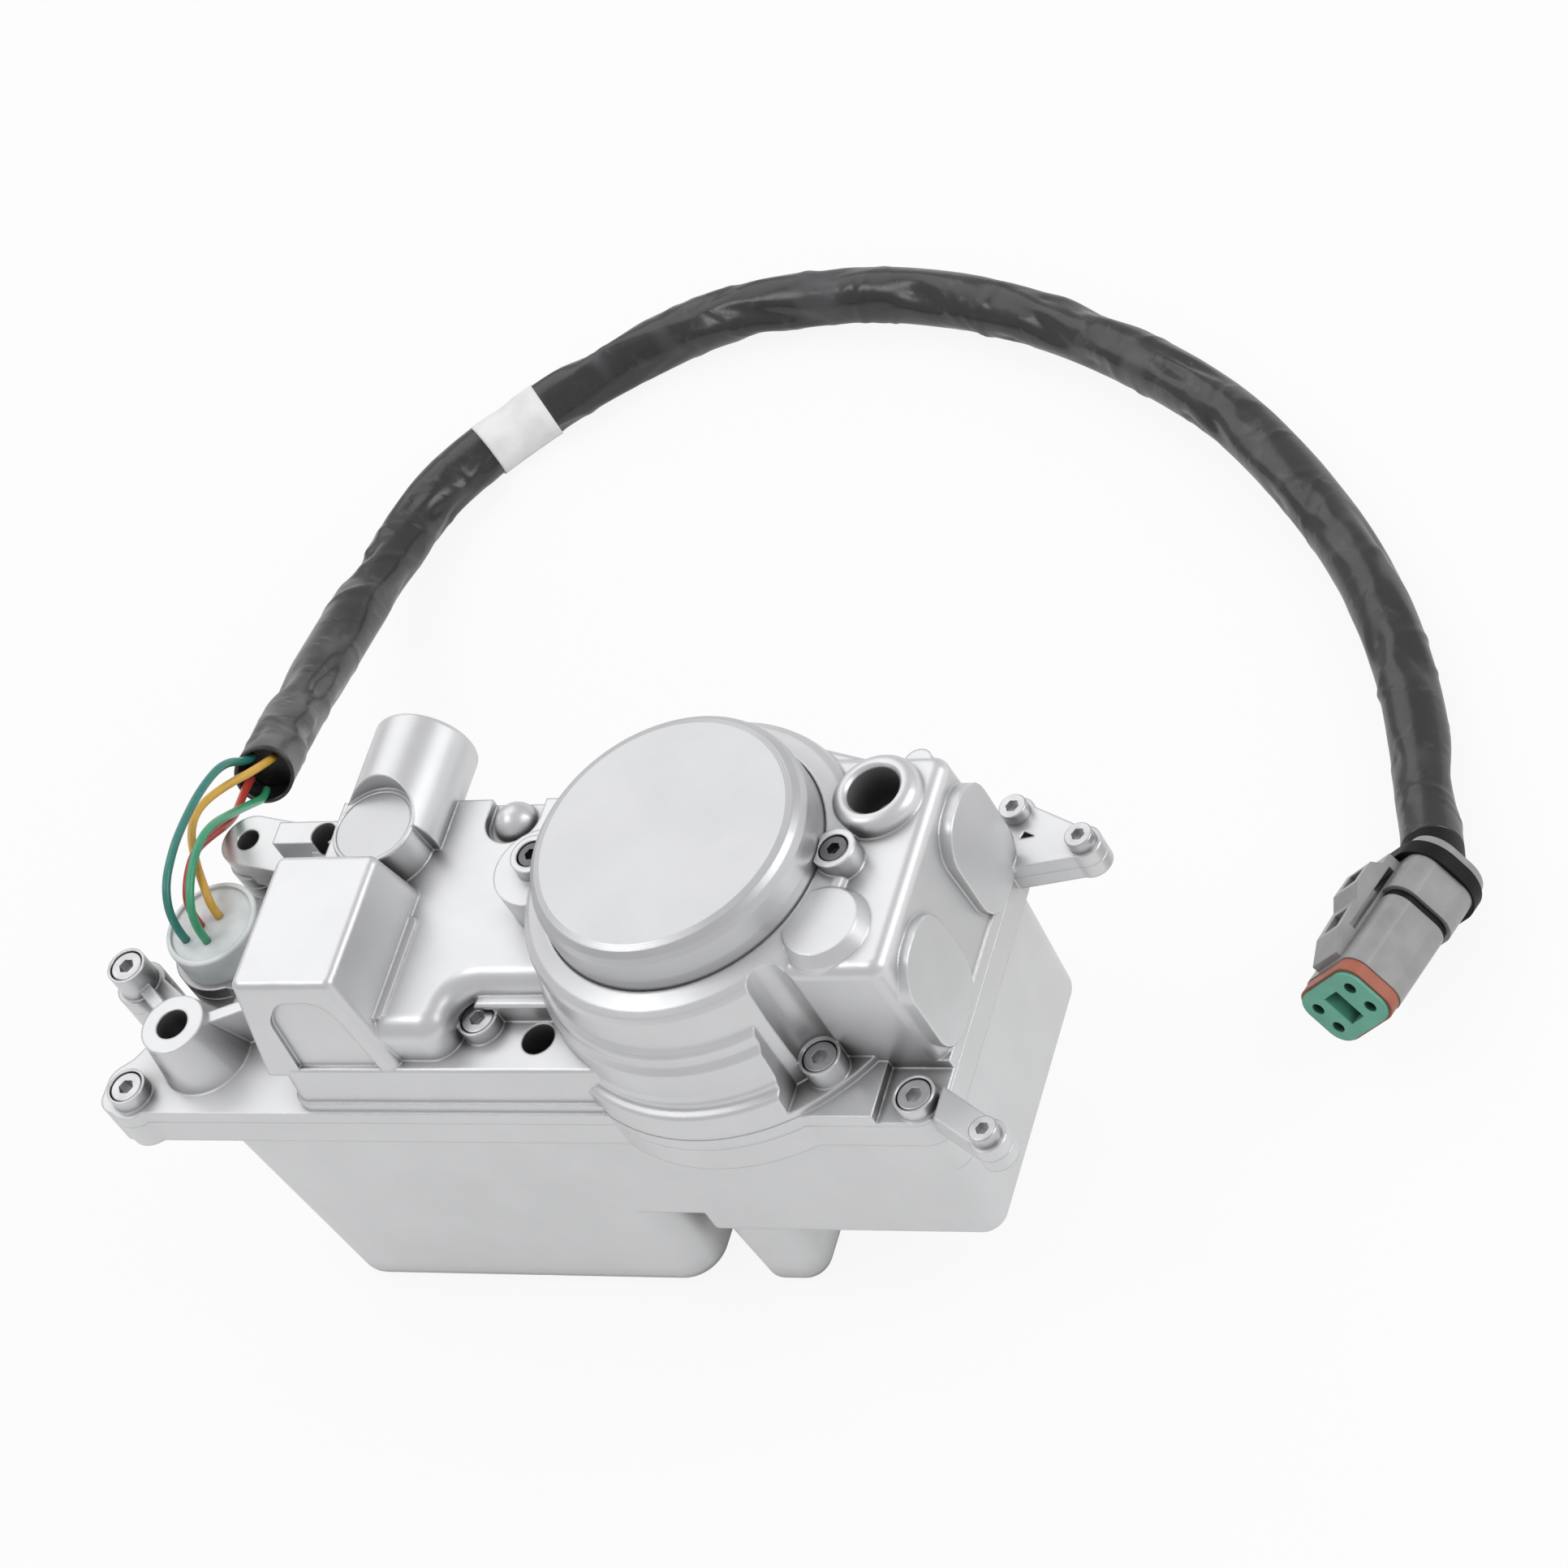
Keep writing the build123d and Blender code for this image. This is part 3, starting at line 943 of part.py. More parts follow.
def route_radii(points):
    """Arc radius at each inner point: 0.45 of the shorter run over the tangent of half the turn."""
    radii = []
    for a, b, c in zip(points, points[1:], points[2:]):
        u = Vector(*b) - Vector(*a)
        v = Vector(*c) - Vector(*b)
        radii.append(0.45 * min(u.length, v.length) / math.tan(math.radians(u.get_angle(v) / 2)))
    return radii


def run_path(name, points):
    """Path of straight runs and tangent arcs, with its radii and length printed."""
    radii = route_radii(points)
    path = FilletPolyline(*points, radius=radii)
    print(name, "radii", [round(r, 1) for r in radii], "length", round(path.length, 1))
    return path


def cord_tube(name, points, r):
    """Plain tube along a route."""
    path = run_path(name, points)
    solid = sweep(Plane(origin=path @ 0, z_dir=path % 0) * Circle(r), path=path)
    print(name, "volume over section times length", round(solid.volume / (math.pi * r * r * path.length), 5))
    return solid


# Route of the sleeve from its mouth over the floor to the connector
REST_Z = SLEEVE_R + LABEL_T + 0.1
BOOT = Vector(*CONNECTOR_AT)
LAST_BEND = Vector(126.5, 90.0, REST_Z)
SLEEVE_END_DIR = (BOOT - LAST_BEND).normalized()
SLEEVE_END = BOOT - SLEEVE_END_DIR * REAR_STUB
MOUTH = (-163.0, 61.0, 72.0)
SLEEVE_ROUTE = [MOUTH, (-173.5, 84.0, 57.5), (-188.0, 124.0, 35.0), (-195.5, 158.0, 20.0),
                (-197.5, 186.0, 10.5), (-191.5, 209.5, REST_Z), (-159.0, 240.5, REST_Z),
                (-138.5, 255.0, REST_Z), (-112.0, 264.0, REST_Z), (-80.0, 267.0, REST_Z),
                (-44.0, 260.8, REST_Z), (-6.0, 246.6, REST_Z), (38.4, 220.2, REST_Z),
                (68.6, 191.5, REST_Z), (96.4, 158.9, REST_Z), (114.5, 124.5, REST_Z), tuple(LAST_BEND),
                tuple(SLEEVE_END)]
MOUTH_DIR = (Vector(*SLEEVE_ROUTE[1]) - Vector(*MOUTH)).normalized()

# Wires: place on the grommet and offset in the sleeve's mouth, across and up
WIRES = {"wire_teal": ((-157.4, 2.0), (-2.3, 2.2)), "wire_green": ((-151.0, 1.6), (2.3, 2.2)),
         "wire_amber": ((-150.2, 9.0), (2.3, -2.2)), "wire_red": ((-154.6, 6.2), (-2.3, -2.2))}


def wire_route(foot, shift):
    """Route of one wire: up from the grommet, over and back into the sleeve's mouth."""
    across = Vector(0, 0, 1).cross(MOUTH_DIR).normalized() * -1.0
    up = across.cross(MOUTH_DIR).normalized()
    end = Vector(*MOUTH) + across * shift[0] + up * shift[1]
    turn = end - MOUTH_DIR * 13.0
    x, y = foot
    mid_x = (x + turn.X) / 2
    z = GROMMET_TOP - 0.8
    rise = math.copysign(1.5, shift[1])
    return [(x, y, z), (x, y, z + 8.0 + rise), (x - 0.9, y + 5.0, z + 13.2 + 1.4 * rise),
            (x * 0.7 + mid_x * 0.3 - 0.6, 23.0 + rise, z + 13.4 + 1.4 * rise),
            (mid_x - 1.0, 44.5 + rise, z + 6.6 + 1.2 * rise), tuple(turn), tuple(end)]


def label_band():
    """Bare band wrapped round the straight stretch of the sleeve."""
    a = Vector(*SLEEVE_ROUTE[5])
    b = Vector(*SLEEVE_ROUTE[6])
    along = (b - a).normalized()
    spot = frame_at((a + b) * 0.5, (0, 0, 1), along)
    return spot * tube(0, 0, -LABEL_LENGTH / 2, LABEL_LENGTH / 2, SLEEVE_R + 0.02 + LABEL_T, SLEEVE_R + 0.02)


PARTS = {
    "lower_housing": lower_housing(),
    "upper_housing": upper_housing(),
    "housing_seal": housing_seal(),
    "motor_cover": motor_cover(),
    "cover_seal": cover_seal(),
    "motor_cover_screws": motor_cover_screws(),
    "housing_screws": housing_screws(),
    "channel_plug": rod(ELBOW_X, ELBOW_Y, ELBOW_TOP - PLUG_T, ELBOW_TOP - PLUG_SINK, PLUG_R),
    "motor_stator": motor_stator(),
    "motor_windings": motor_windings(),
    "motor_end_plate": motor_end_plate(),
    "end_plate_screws": Part() + [hung_screw(M3, 5.0, x, y, SPLIT_Z + M3[2] + 0.2)
                                  for x, y in end_plate_screws()],
    "rotor_bearing_lower": bearing(0, 0, ROTOR_LOW_Z, ROTOR_BEARING),
    "rotor_bearing_upper": bearing(0, 0, ROTOR_TOP_Z, ROTOR_BEARING),
    "rotor_shaft": rotor_shaft(),
    "rotor_core": rotor_core(),
    "rotor_magnets": rotor_magnets(),
    "reduction_gear": reduction_gear(),
    "intermediate_pin": rod(LAY_X, LAY_Y, SHALLOW_Z + 2, BRIDGE_TOP, LAY_PIN_R),
    "output_gear": output_gear(),
    "output_shaft": output_shaft(),
    "output_bearing_lower": bearing(OUT_X, OUT_Y, OUT_BEARING_Z, OUTPUT_BEARING),
    "output_bearing_upper": bearing(OUT_X, OUT_Y, BRIDGE_TOP - BRIDGE_BEARING[2], BRIDGE_BEARING),
    "shaft_seal": tube(OUT_X, OUT_Y, SHALLOW_Z + 0.4, SHALLOW_Z + SEAL_H, OUTPUT_BEARING[1] - 2.0,
                       OUTPUT_BEARING[0] + FIT),
    "bearing_bridge": bearing_bridge(),
    "bridge_screws": Part() + [socket_screw(M4, BRIDGE_T + 7.0, x, y, BRIDGE_TOP) for x, y in BRIDGE_POSTS],
    "position_magnet": position_magnet(),
    "circuit_board": circuit_board(),
    "board_screws": Part() + [socket_screw(M3, BOARD_T + 5.0, x, y, BOARD_Z + BOARD_T)
                              for x, y in BOARD_POSTS],
    "capacitors": capacitors(),
    "choke": choke(),
    "power_chips": power_chips(),
    "wire_grommet": wire_grommet(),
    "harness_sleeve": cord_tube("harness_sleeve", SLEEVE_ROUTE, SLEEVE_R),
    "label_band": label_band(),
    "connector_shell": connector_shell(),
    "connector_boot": connector_boot(),
    "connector_seal": connector_seal(),
    "wedge_lock": wedge_lock(),
    "contact_sockets": contact_sockets(),
}
for name, (foot, shift) in WIRES.items():
    PARTS[name] = cord_tube(name, wire_route(foot, shift), WIRE_R)

print("motor axis at x", round(MOTOR_X, 3), "output", round(OUT_X + MOTOR_X, 4), round(OUT_Y, 4),
      "intermediate", round(LAY_X + MOTOR_X, 4), round(LAY_Y, 4))
os.makedirs("parts", exist_ok=True)
for name, piece in PARTS.items():
    solid = Pos(MOTOR_X, 0, 0) * piece
    export_step(solid, f"parts/{name}.step")
    box = solid.bounding_box()
    print(name, solid.is_valid, len(solid.solids()), round(solid.volume),
          [round(v, 1) for v in (box.min.X, box.max.X, box.min.Y, box.max.Y, box.min.Z, box.max.Z)])
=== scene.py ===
"""Looks of an electric turbo actuator: finishes, pigtail, end webs and studio round its CAD frame."""

from __future__ import annotations

import json
import logging
import math
import random
from dataclasses import dataclass, field
from enum import Enum
from typing import Any, Mapping, Sequence

import bmesh
import bpy
import numpy as np
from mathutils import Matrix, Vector

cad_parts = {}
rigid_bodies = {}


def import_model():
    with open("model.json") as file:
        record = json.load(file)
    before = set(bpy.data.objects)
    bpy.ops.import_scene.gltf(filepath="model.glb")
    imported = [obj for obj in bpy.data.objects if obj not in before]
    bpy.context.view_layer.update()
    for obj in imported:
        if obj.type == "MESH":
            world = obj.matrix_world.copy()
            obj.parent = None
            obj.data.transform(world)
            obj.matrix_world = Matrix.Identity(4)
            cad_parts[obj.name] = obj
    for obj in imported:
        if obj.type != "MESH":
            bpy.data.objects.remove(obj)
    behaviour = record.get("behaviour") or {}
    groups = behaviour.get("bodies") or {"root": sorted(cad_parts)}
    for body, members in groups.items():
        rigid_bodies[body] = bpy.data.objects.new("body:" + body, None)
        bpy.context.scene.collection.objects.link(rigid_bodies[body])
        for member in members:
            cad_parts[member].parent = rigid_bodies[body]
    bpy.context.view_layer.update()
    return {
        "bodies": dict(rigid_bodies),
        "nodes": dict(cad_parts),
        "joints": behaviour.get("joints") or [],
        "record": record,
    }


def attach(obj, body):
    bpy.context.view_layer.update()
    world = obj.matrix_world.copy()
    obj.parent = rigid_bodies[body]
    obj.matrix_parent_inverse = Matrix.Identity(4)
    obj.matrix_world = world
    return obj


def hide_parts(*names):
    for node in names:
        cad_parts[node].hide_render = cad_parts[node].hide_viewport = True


log = logging.getLogger("turbo_actuator")
Colour = tuple[float, float, float]
Point = tuple[float, float, float]
Range = tuple[float, float]

# The sleeve's UV map: U runs along it in metres, V round it from 0 to 1.
UV_ALONG = "along"

# Sockets of a Mix node that mixes colours.
MIX_FACTOR, MIX_FIRST, MIX_SECOND, MIX_RESULT = 0, 6, 7, 2

# No surface sends back more light than this share.
BRIGHTEST = 0.95


class Signal:
    """A shader socket on which Python arithmetic adds Math nodes."""

    def __init__(self, graph: Graph, socket: bpy.types.NodeSocket) -> None:
        """Wraps one output socket of a graph."""
        self.graph = graph
        self.socket = socket

    def math(self, operation: str, *values: Any) -> Signal:
        """Adds one Math node with its inputs in order, and returns its result."""
        return self.graph.value("ShaderNodeMath", {"operation": operation}, dict(enumerate(values)))

    def __add__(self, other: Any) -> Signal:
        """self + other."""
        return self.math("ADD", self, other)

    def __radd__(self, other: Any) -> Signal:
        """other + self."""
        return self.math("ADD", other, self)

    def __sub__(self, other: Any) -> Signal:
        """self - other."""
        return self.math("SUBTRACT", self, other)

    def __rsub__(self, other: Any) -> Signal:
        """other - self."""
        return self.math("SUBTRACT", other, self)

    def __mul__(self, other: Any) -> Signal:
        """self * other."""
        return self.math("MULTIPLY", self, other)

    def __rmul__(self, other: Any) -> Signal:
        """other * self."""
        return self.math("MULTIPLY", other, self)

    def __truediv__(self, other: Any) -> Signal:
        """self / other."""
        return self.math("DIVIDE", self, other)

    def __rtruediv__(self, other: Any) -> Signal:
        """other / self."""
        return self.math("DIVIDE", other, self)

    def sine(self) -> Signal:
        """Sine of the signal."""
        return self.math("SINE", self)

    def root(self) -> Signal:
        """Square root of the signal."""
        return self.math("SQRT", self)

    def fraction(self) -> Signal:
        """Part of the signal past its whole number."""
        return self.math("FRACT", self)

    def band(self, low: float, high: float) -> Signal:
        """Smooth step from 0 at low to 1 at high."""
        sockets = {"Value": self, "From Min": low, "From Max": high}
        return self.graph.value("ShaderNodeMapRange", {"interpolation_type": "SMOOTHSTEP"}, sockets)


class Graph:
    """Node graph of one material round a Principled shader."""

    def __init__(self, name: str) -> None:
        """Makes the material with its shader and output.

        Args:
            name: the material's name.
        """
        self.material = bpy.data.materials.new(name)
        self.material.use_nodes = True
        self.tree = self.material.node_tree
        self.tree.nodes.clear()
        self.shader = self.node("ShaderNodeBsdfPrincipled")
        self.output = self.node("ShaderNodeOutputMaterial", {}, {"Surface": self.shader.outputs[0]})

    def node(self, kind: str, settings: Mapping[str, Any] | None = None,
             sockets: Mapping[Any, Any] | None = None) -> bpy.types.Node:
        """Adds a node.

        Args:
            kind: the node's type name.
            settings: its properties, set before its sockets.
            sockets: values or links of its inputs, by name or number.

        Returns:
            The new node.
        """
        node = self.tree.nodes.new(kind)
        for key, value in (settings or {}).items():
            setattr(node, key, value)
        for key, value in (sockets or {}).items():
            self.plug(node.inputs[key], value)
        return node

    def plug(self, target: bpy.types.NodeSocket, value: Any) -> None:
        """Sets an input socket to a value, or links a signal or a socket to it.

        Args:
            target: the input socket.
            value: a signal, an output socket, a number, a vector or a colour of three numbers.
        """
        if isinstance(value, Signal):
            value = value.socket
        if isinstance(value, bpy.types.NodeSocket):
            self.tree.links.new(value, target)
        elif isinstance(value, tuple) and len(value) == 3 and target.type == "RGBA":
            target.default_value = (*value, 1.0)
        else:
            target.default_value = value

    def value(self, kind: str, settings: Mapping[str, Any] | None = None,
              sockets: Mapping[Any, Any] | None = None, output: Any = 0) -> Signal:
        """Adds a node, as node() does, and returns the output of that name or number."""
        return Signal(self, self.node(kind, settings, sockets).outputs[output])

    def place(self, size: Point = (1.0, 1.0, 1.0), centre: Point = (0.0, 0.0, 0.0),
              turn: Point = (0.0, 0.0, 0.0)) -> Signal:
        """Object coordinates, centred, turned and scaled.

        Args:
            size: scale along each axis.
            centre: point that becomes the origin, in metres.
            turn: turn about each axis in radians, before scaling.

        Returns:
            The mapped coordinates.
        """
        raw = self.value("ShaderNodeTexCoord", output="Object")
        moved = self.value("ShaderNodeVectorMath", {"operation": "SUBTRACT"}, {0: raw, 1: centre})
        point = {"vector_type": "POINT"}
        turned = self.value("ShaderNodeMapping", point, {"Vector": moved, "Rotation": turn})
        return self.value("ShaderNodeMapping", point, {"Vector": turned, "Scale": size})

    def axes(self, where: Signal) -> list[Signal]:
        """The three coordinates of a place."""
        split = self.node("ShaderNodeSeparateXYZ", {}, {0: where})
        return [Signal(self, output) for output in split.outputs]

    def noise(self, where: Signal, scale: float, detail: float = 3.0, roughness: float = 0.5) -> Signal:
        """Fractal noise from 0 to 1."""
        sockets = {"Vector": where, "Scale": scale, "Detail": detail, "Roughness": roughness}
        return self.value("ShaderNodeTexNoise", {}, sockets)

    def mix(self, factor: Any, first: Any, second: Any) -> Signal:
        """Mixes two colours: the first where the factor is 0, the second where it is 1."""
        sockets = {MIX_FACTOR: factor, MIX_FIRST: first, MIX_SECOND: second}
        return self.value("ShaderNodeMix", {"data_type": "RGBA"}, sockets, MIX_RESULT)

    def bump(self, height: Any, strength: float, distance: float, normal: Any = None) -> Signal:
        """Adds a bump.

        Args:
            height: the height signal, from 0 to 1.
            strength: share of the bump that shows.
            distance: height of the bump in metres.
            normal: the normal that the bump starts from, or none for the surface's own.

        Returns:
            The bumped normal.
        """
        sockets = {"Height": height, "Strength": strength, "Distance": distance}
        if normal is not None:
            sockets["Normal"] = normal
        return self.value("ShaderNodeBump", {}, sockets)

    def rounded(self, radius: float) -> Signal:
        """Normal with edges rounded to a radius in metres."""
        return self.value("ShaderNodeBevel", {"samples": 6}, {"Radius": radius})

    def edges(self, normal: Signal, spread: float = 0.25) -> Signal:
        """Finds the rounded edges.

        Args:
            normal: the normal with rounded edges.
            spread: how far the normals part where the mask reaches 1.

        Returns:
            A mask of 1 along the edges and 0 on the faces between them.
        """
        flat = self.value("ShaderNodeNewGeometry", output="Normal")
        both = {0: normal, 1: flat}
        dot = self.value("ShaderNodeVectorMath", {"operation": "DOT_PRODUCT"}, both, "Value")
        return (1.0 - dot).band(0.0, spread)

    def hollows(self, reach: float) -> Signal:
        """1 in the open and towards 0 in hollows, within a reach in metres."""
        return self.value("ShaderNodeAmbientOcclusion", {"samples": 8}, {"Distance": reach}, "AO")

    def finish(self, **sockets: Any) -> bpy.types.Material:
        """Plugs the shader's sockets.

        Args:
            sockets: values or links by socket name, with an underscore for each space.

        Returns:
            The material.
        """
        for key, value in sockets.items():
            self.plug(self.shader.inputs[key.replace("_", " ")], value)
        return self.material


@dataclass(frozen=True)
class Finish:
    """A finish with a name, a colour and a record slot."""

    slot: str
    colour: Colour

    def shade(self, scale: float) -> Colour:
        """The colour times a scale, held to the brightest."""
        return tuple(min(c * scale, BRIGHTEST) for c in self.colour)

    def mottled(self, g: Graph, cloud: Signal, low: float, high: float) -> Signal:
        """The colour, clouded between two scales of it."""
        return g.mix(cloud.band(0.3, 0.7), self.shade(low), self.shade(high))

    def make(self) -> bpy.types.Material:
        """Builds the finish's material."""
        raise NotImplementedError


@dataclass(frozen=True)
class CastMetal(Finish):
    """Die-cast light metal with a fine grain, soft mottling, painted shade in its hollows and a painted
    highlight on its edges.
    """

    roughness: float = 0.36
    metallic: float = 0.82
    grain: float = 0.00003
    edge: float = 0.0009
    # Painted highlight on the edges, as a scale of the colour.
    edge_highlight: float = 1.3
    # Painted shade in hollows: its reach in metres, its strength and its darkest colour.
    shadow_reach: float = 0.014
    shadow: float = 0.88
    deepest: float = 0.14

    def make(self) -> bpy.types.Material:
        """Builds the cast skin.

        Returns:
            The material.
        """
        g = Graph(self.slot)
        where = g.place()
        cloud = g.noise(where, scale=55.0, detail=4.0, roughness=0.55)
        flow = g.noise(g.place(size=(1.0, 1.0, 0.45)), scale=210.0, detail=3.0, roughness=0.5)
        fine = g.noise(where, scale=2600.0, detail=2.0, roughness=0.6)
        smooth = g.rounded(self.edge)
        edge = g.edges(smooth)
        open_air = g.hollows(self.shadow_reach).band(0.18, 0.86)
        # Deep corners get painted shade, and the edges get a painted highlight.
        tone = self.mottled(g, cloud, low=0.975, high=1.02)
        tone = g.mix((1.0 - open_air) * self.shadow, tone, self.shade(self.deepest))
        tone = g.mix(edge * 0.7, tone, self.shade(self.edge_highlight))
        rough = flow * 0.08 + cloud * 0.05 + self.roughness - 0.06 - edge * 0.16
        height = fine * 0.5 + flow * 0.5
        normal = g.bump(height, strength=0.55, distance=self.grain, normal=smooth)
        return g.finish(Base_Color=tone, Metallic=self.metallic, Roughness=rough, Normal=normal)


@dataclass(frozen=True)
class TurnedMetal(Finish):
    """Lathe-turned metal with fine rings about an upright axis."""

    centre: Point = (0.0, 0.0, 0.0)
    roughness: float = 0.30
    pitch: float = 0.00045
    ring_depth: float = 0.000012
    metallic: float = 0.9
    edge: float = 0.0006

    def make(self) -> bpy.types.Material:
        """Builds the turned skin.

        Returns:
            The material.
        """
        g = Graph(self.slot)
        where = g.place(centre=self.centre)
        # Rings spread over a flat face and climb on a round one.
        x, y, z = g.axes(where)
        radius = (x * x + y * y).root()
        wobble = g.noise(where, scale=900.0, detail=2.0)
        rings = ((radius + z) * (2 * math.pi / self.pitch) + wobble * 2.2).sine()
        cloud = g.noise(where, scale=40.0, detail=3.0)
        smooth = g.rounded(self.edge)
        edge = g.edges(smooth)
        tone = self.mottled(g, cloud, low=0.95, high=1.03)
        # Painted highlight along the edges.
        tone = g.mix(edge * 0.4, tone, self.shade(1.15))
        rough = rings * 0.025 + cloud * 0.10 + self.roughness - 0.05
        normal = g.bump(rings, strength=0.35, distance=self.ring_depth, normal=smooth)
        return g.finish(Base_Color=tone, Metallic=self.metallic, Roughness=rough, Normal=normal)


@dataclass(frozen=True)
class Steel(Finish):
    """Steel of screws, pins, gears and bearings, with fine scratches."""

    roughness: float = 0.34
    scratch_depth: float = 0.00001
    edge: float = 0.0003

    def make(self) -> bpy.types.Material:
        """Builds the steel.

        Returns:
            The material.
        """
        g = Graph(self.slot)
        drawn = g.place(size=(1.0, 1.0, 0.12), turn=(0.3, 0.2, 0.5))
        scratch = g.noise(drawn, scale=2200.0, detail=3.0, roughness=0.6)
        cloud = g.noise(g.place(), scale=260.0, detail=3.0)
        smooth = g.rounded(self.edge)
        edge = g.edges(smooth)
        tone = g.mix(cloud.band(0.3, 0.72), self.shade(0.86), self.shade(1.06))
        # Painted highlight along the edges.
        tone = g.mix(edge * 0.5, tone, self.shade(1.35))
        rough = scratch * 0.14 + self.roughness - 0.07
        normal = g.bump(scratch, strength=0.3, distance=self.scratch_depth, normal=smooth)
        return g.finish(Base_Color=tone, Metallic=1.0, Roughness=rough, Normal=normal)


@dataclass(frozen=True)
class Moulded(Finish):
    """Moulded plastic or rubber with a spark-eroded grain, a little bloom, painted shade in hollows and a
    painted highlight on edges.
    """

    roughness: float = 0.5
    coat: float = 0.0
    grain: float = 0.00002
    grain_scale: float = 1700.0
    edge: float = 0.0004
    # Painted highlight on the edges, as a scale of the colour.
    painted_edge_highlight: float = 1.25
    clear: float = 0.0
    clear_depth: float = 0.004
    # Painted shade in hollows: its reach in metres, its strength and its darkest colour.
    shadow_reach: float = 0.004
    shadow: float = 0.8
    deepest: float = 0.08
    gloss: float = 1.5

    def make(self) -> bpy.types.Material:
        """Builds the moulded skin.

        Returns:
            The material.
        """
        g = Graph(self.slot)
        where = g.place()
        fine = g.noise(where, scale=self.grain_scale, detail=2.0, roughness=0.6)
        cloud = g.noise(where, scale=120.0, detail=4.0, roughness=0.55)
        smooth = g.rounded(self.edge)
        edge = g.edges(smooth)
        tone = self.mottled(g, cloud, low=0.9, high=1.08)
        # Painted highlight along the edges.
        tone = g.mix(edge * 0.4, tone, self.shade(self.painted_edge_highlight))
        # Painted shade in hollows.
        open_air = g.hollows(self.shadow_reach).band(0.08, 0.9)
        tone = g.mix((1.0 - open_air) * self.shadow, tone, self.shade(self.deepest))
        rough = fine * 0.10 + cloud * 0.08 + self.roughness - 0.09
        normal = g.bump(fine, strength=0.4, distance=self.grain, normal=smooth)
        if self.clear:
            g.finish(Subsurface_Weight=self.clear, Subsurface_Radius=(self.clear_depth,) * 3)
        return g.finish(Base_Color=tone, Roughness=rough, Coat_Weight=self.coat, Normal=normal,
                        IOR=self.gloss)


@dataclass(frozen=True)
class Wrapped(Finish):
    """Black film wrapped round a loom: wide laps, folds and patches painted pale as a highlight, and a
    soft gloss. U runs along the piece.
    """

    lap: float = 0.033
    roughness: float = 0.27
    relief: float = 0.00022
    # How much paler the painted highlight on folds and patches is.
    pale: float = 5.5
    gloss: float = 1.62

    def make(self) -> bpy.types.Material:
        """Builds the tape.

        Returns:
            The material.
        """
        g = Graph(self.slot)
        along, turns = g.axes(g.value("ShaderNodeUVMap", {"uv_map": UV_ALONG}))[:2]
        where = g.place()
        drift = g.noise(where, scale=60.0, detail=2.0) * 0.25
        # One lap of the tape ends where the next begins, a full turn further on.
        phase = (along / self.lap + turns + drift).fraction()
        step = phase.band(0.0, 0.04) * (1.0 - phase * 0.55)
        crease = g.noise(g.place(size=(1.0, 1.0, 0.5)), scale=120.0, detail=3.0, roughness=0.55)
        fold = crease.band(0.56, 0.70)
        aslant = g.place(size=(1.0, 1.0, 0.8), turn=(0.4, 0.3, 0.9))
        blot = g.noise(aslant, scale=52.0, detail=2.0, roughness=0.45)
        highlight_patch = blot.band(0.56, 0.72)
        fine = g.noise(where, scale=1500.0, detail=2.0)
        # Painted highlight: folds and patches are painted paler than the film.
        tone = g.mix(highlight_patch * 0.55 + fold * 0.35, self.shade(1.0), self.shade(self.pale))
        rough = highlight_patch * 0.16 + crease * 0.14 + fine * 0.04 + self.roughness - 0.09
        height = step * 0.35 + fold * 0.4 + crease * 0.8 + fine * 0.02
        normal = g.bump(height, strength=0.7, distance=self.relief)
        return g.finish(Base_Color=tone, Roughness=rough, Normal=normal, IOR=self.gloss)


@dataclass(frozen=True)
class Coil(Finish):
    """Enamelled wire wound side by side."""

    pitch: float = 0.0009
    wire_depth: float = 0.0002
    metallic: float = 0.8

    def make(self) -> bpy.types.Material:
        """Builds the winding.

        Returns:
            The material.
        """
        g = Graph(self.slot)
        height = g.axes(g.place())[2]
        rows = (height * (2 * math.pi / self.pitch)).sine()
        # Painted shade in the grooves between the turns, and a painted highlight on their crowns.
        tone = g.mix(rows.band(-0.6, 0.9), self.shade(0.45), self.shade(1.1))
        rough = rows * -0.08 + 0.36
        normal = g.bump(rows, strength=0.8, distance=self.wire_depth)
        return g.finish(Base_Color=tone, Metallic=self.metallic, Roughness=rough, Normal=normal)


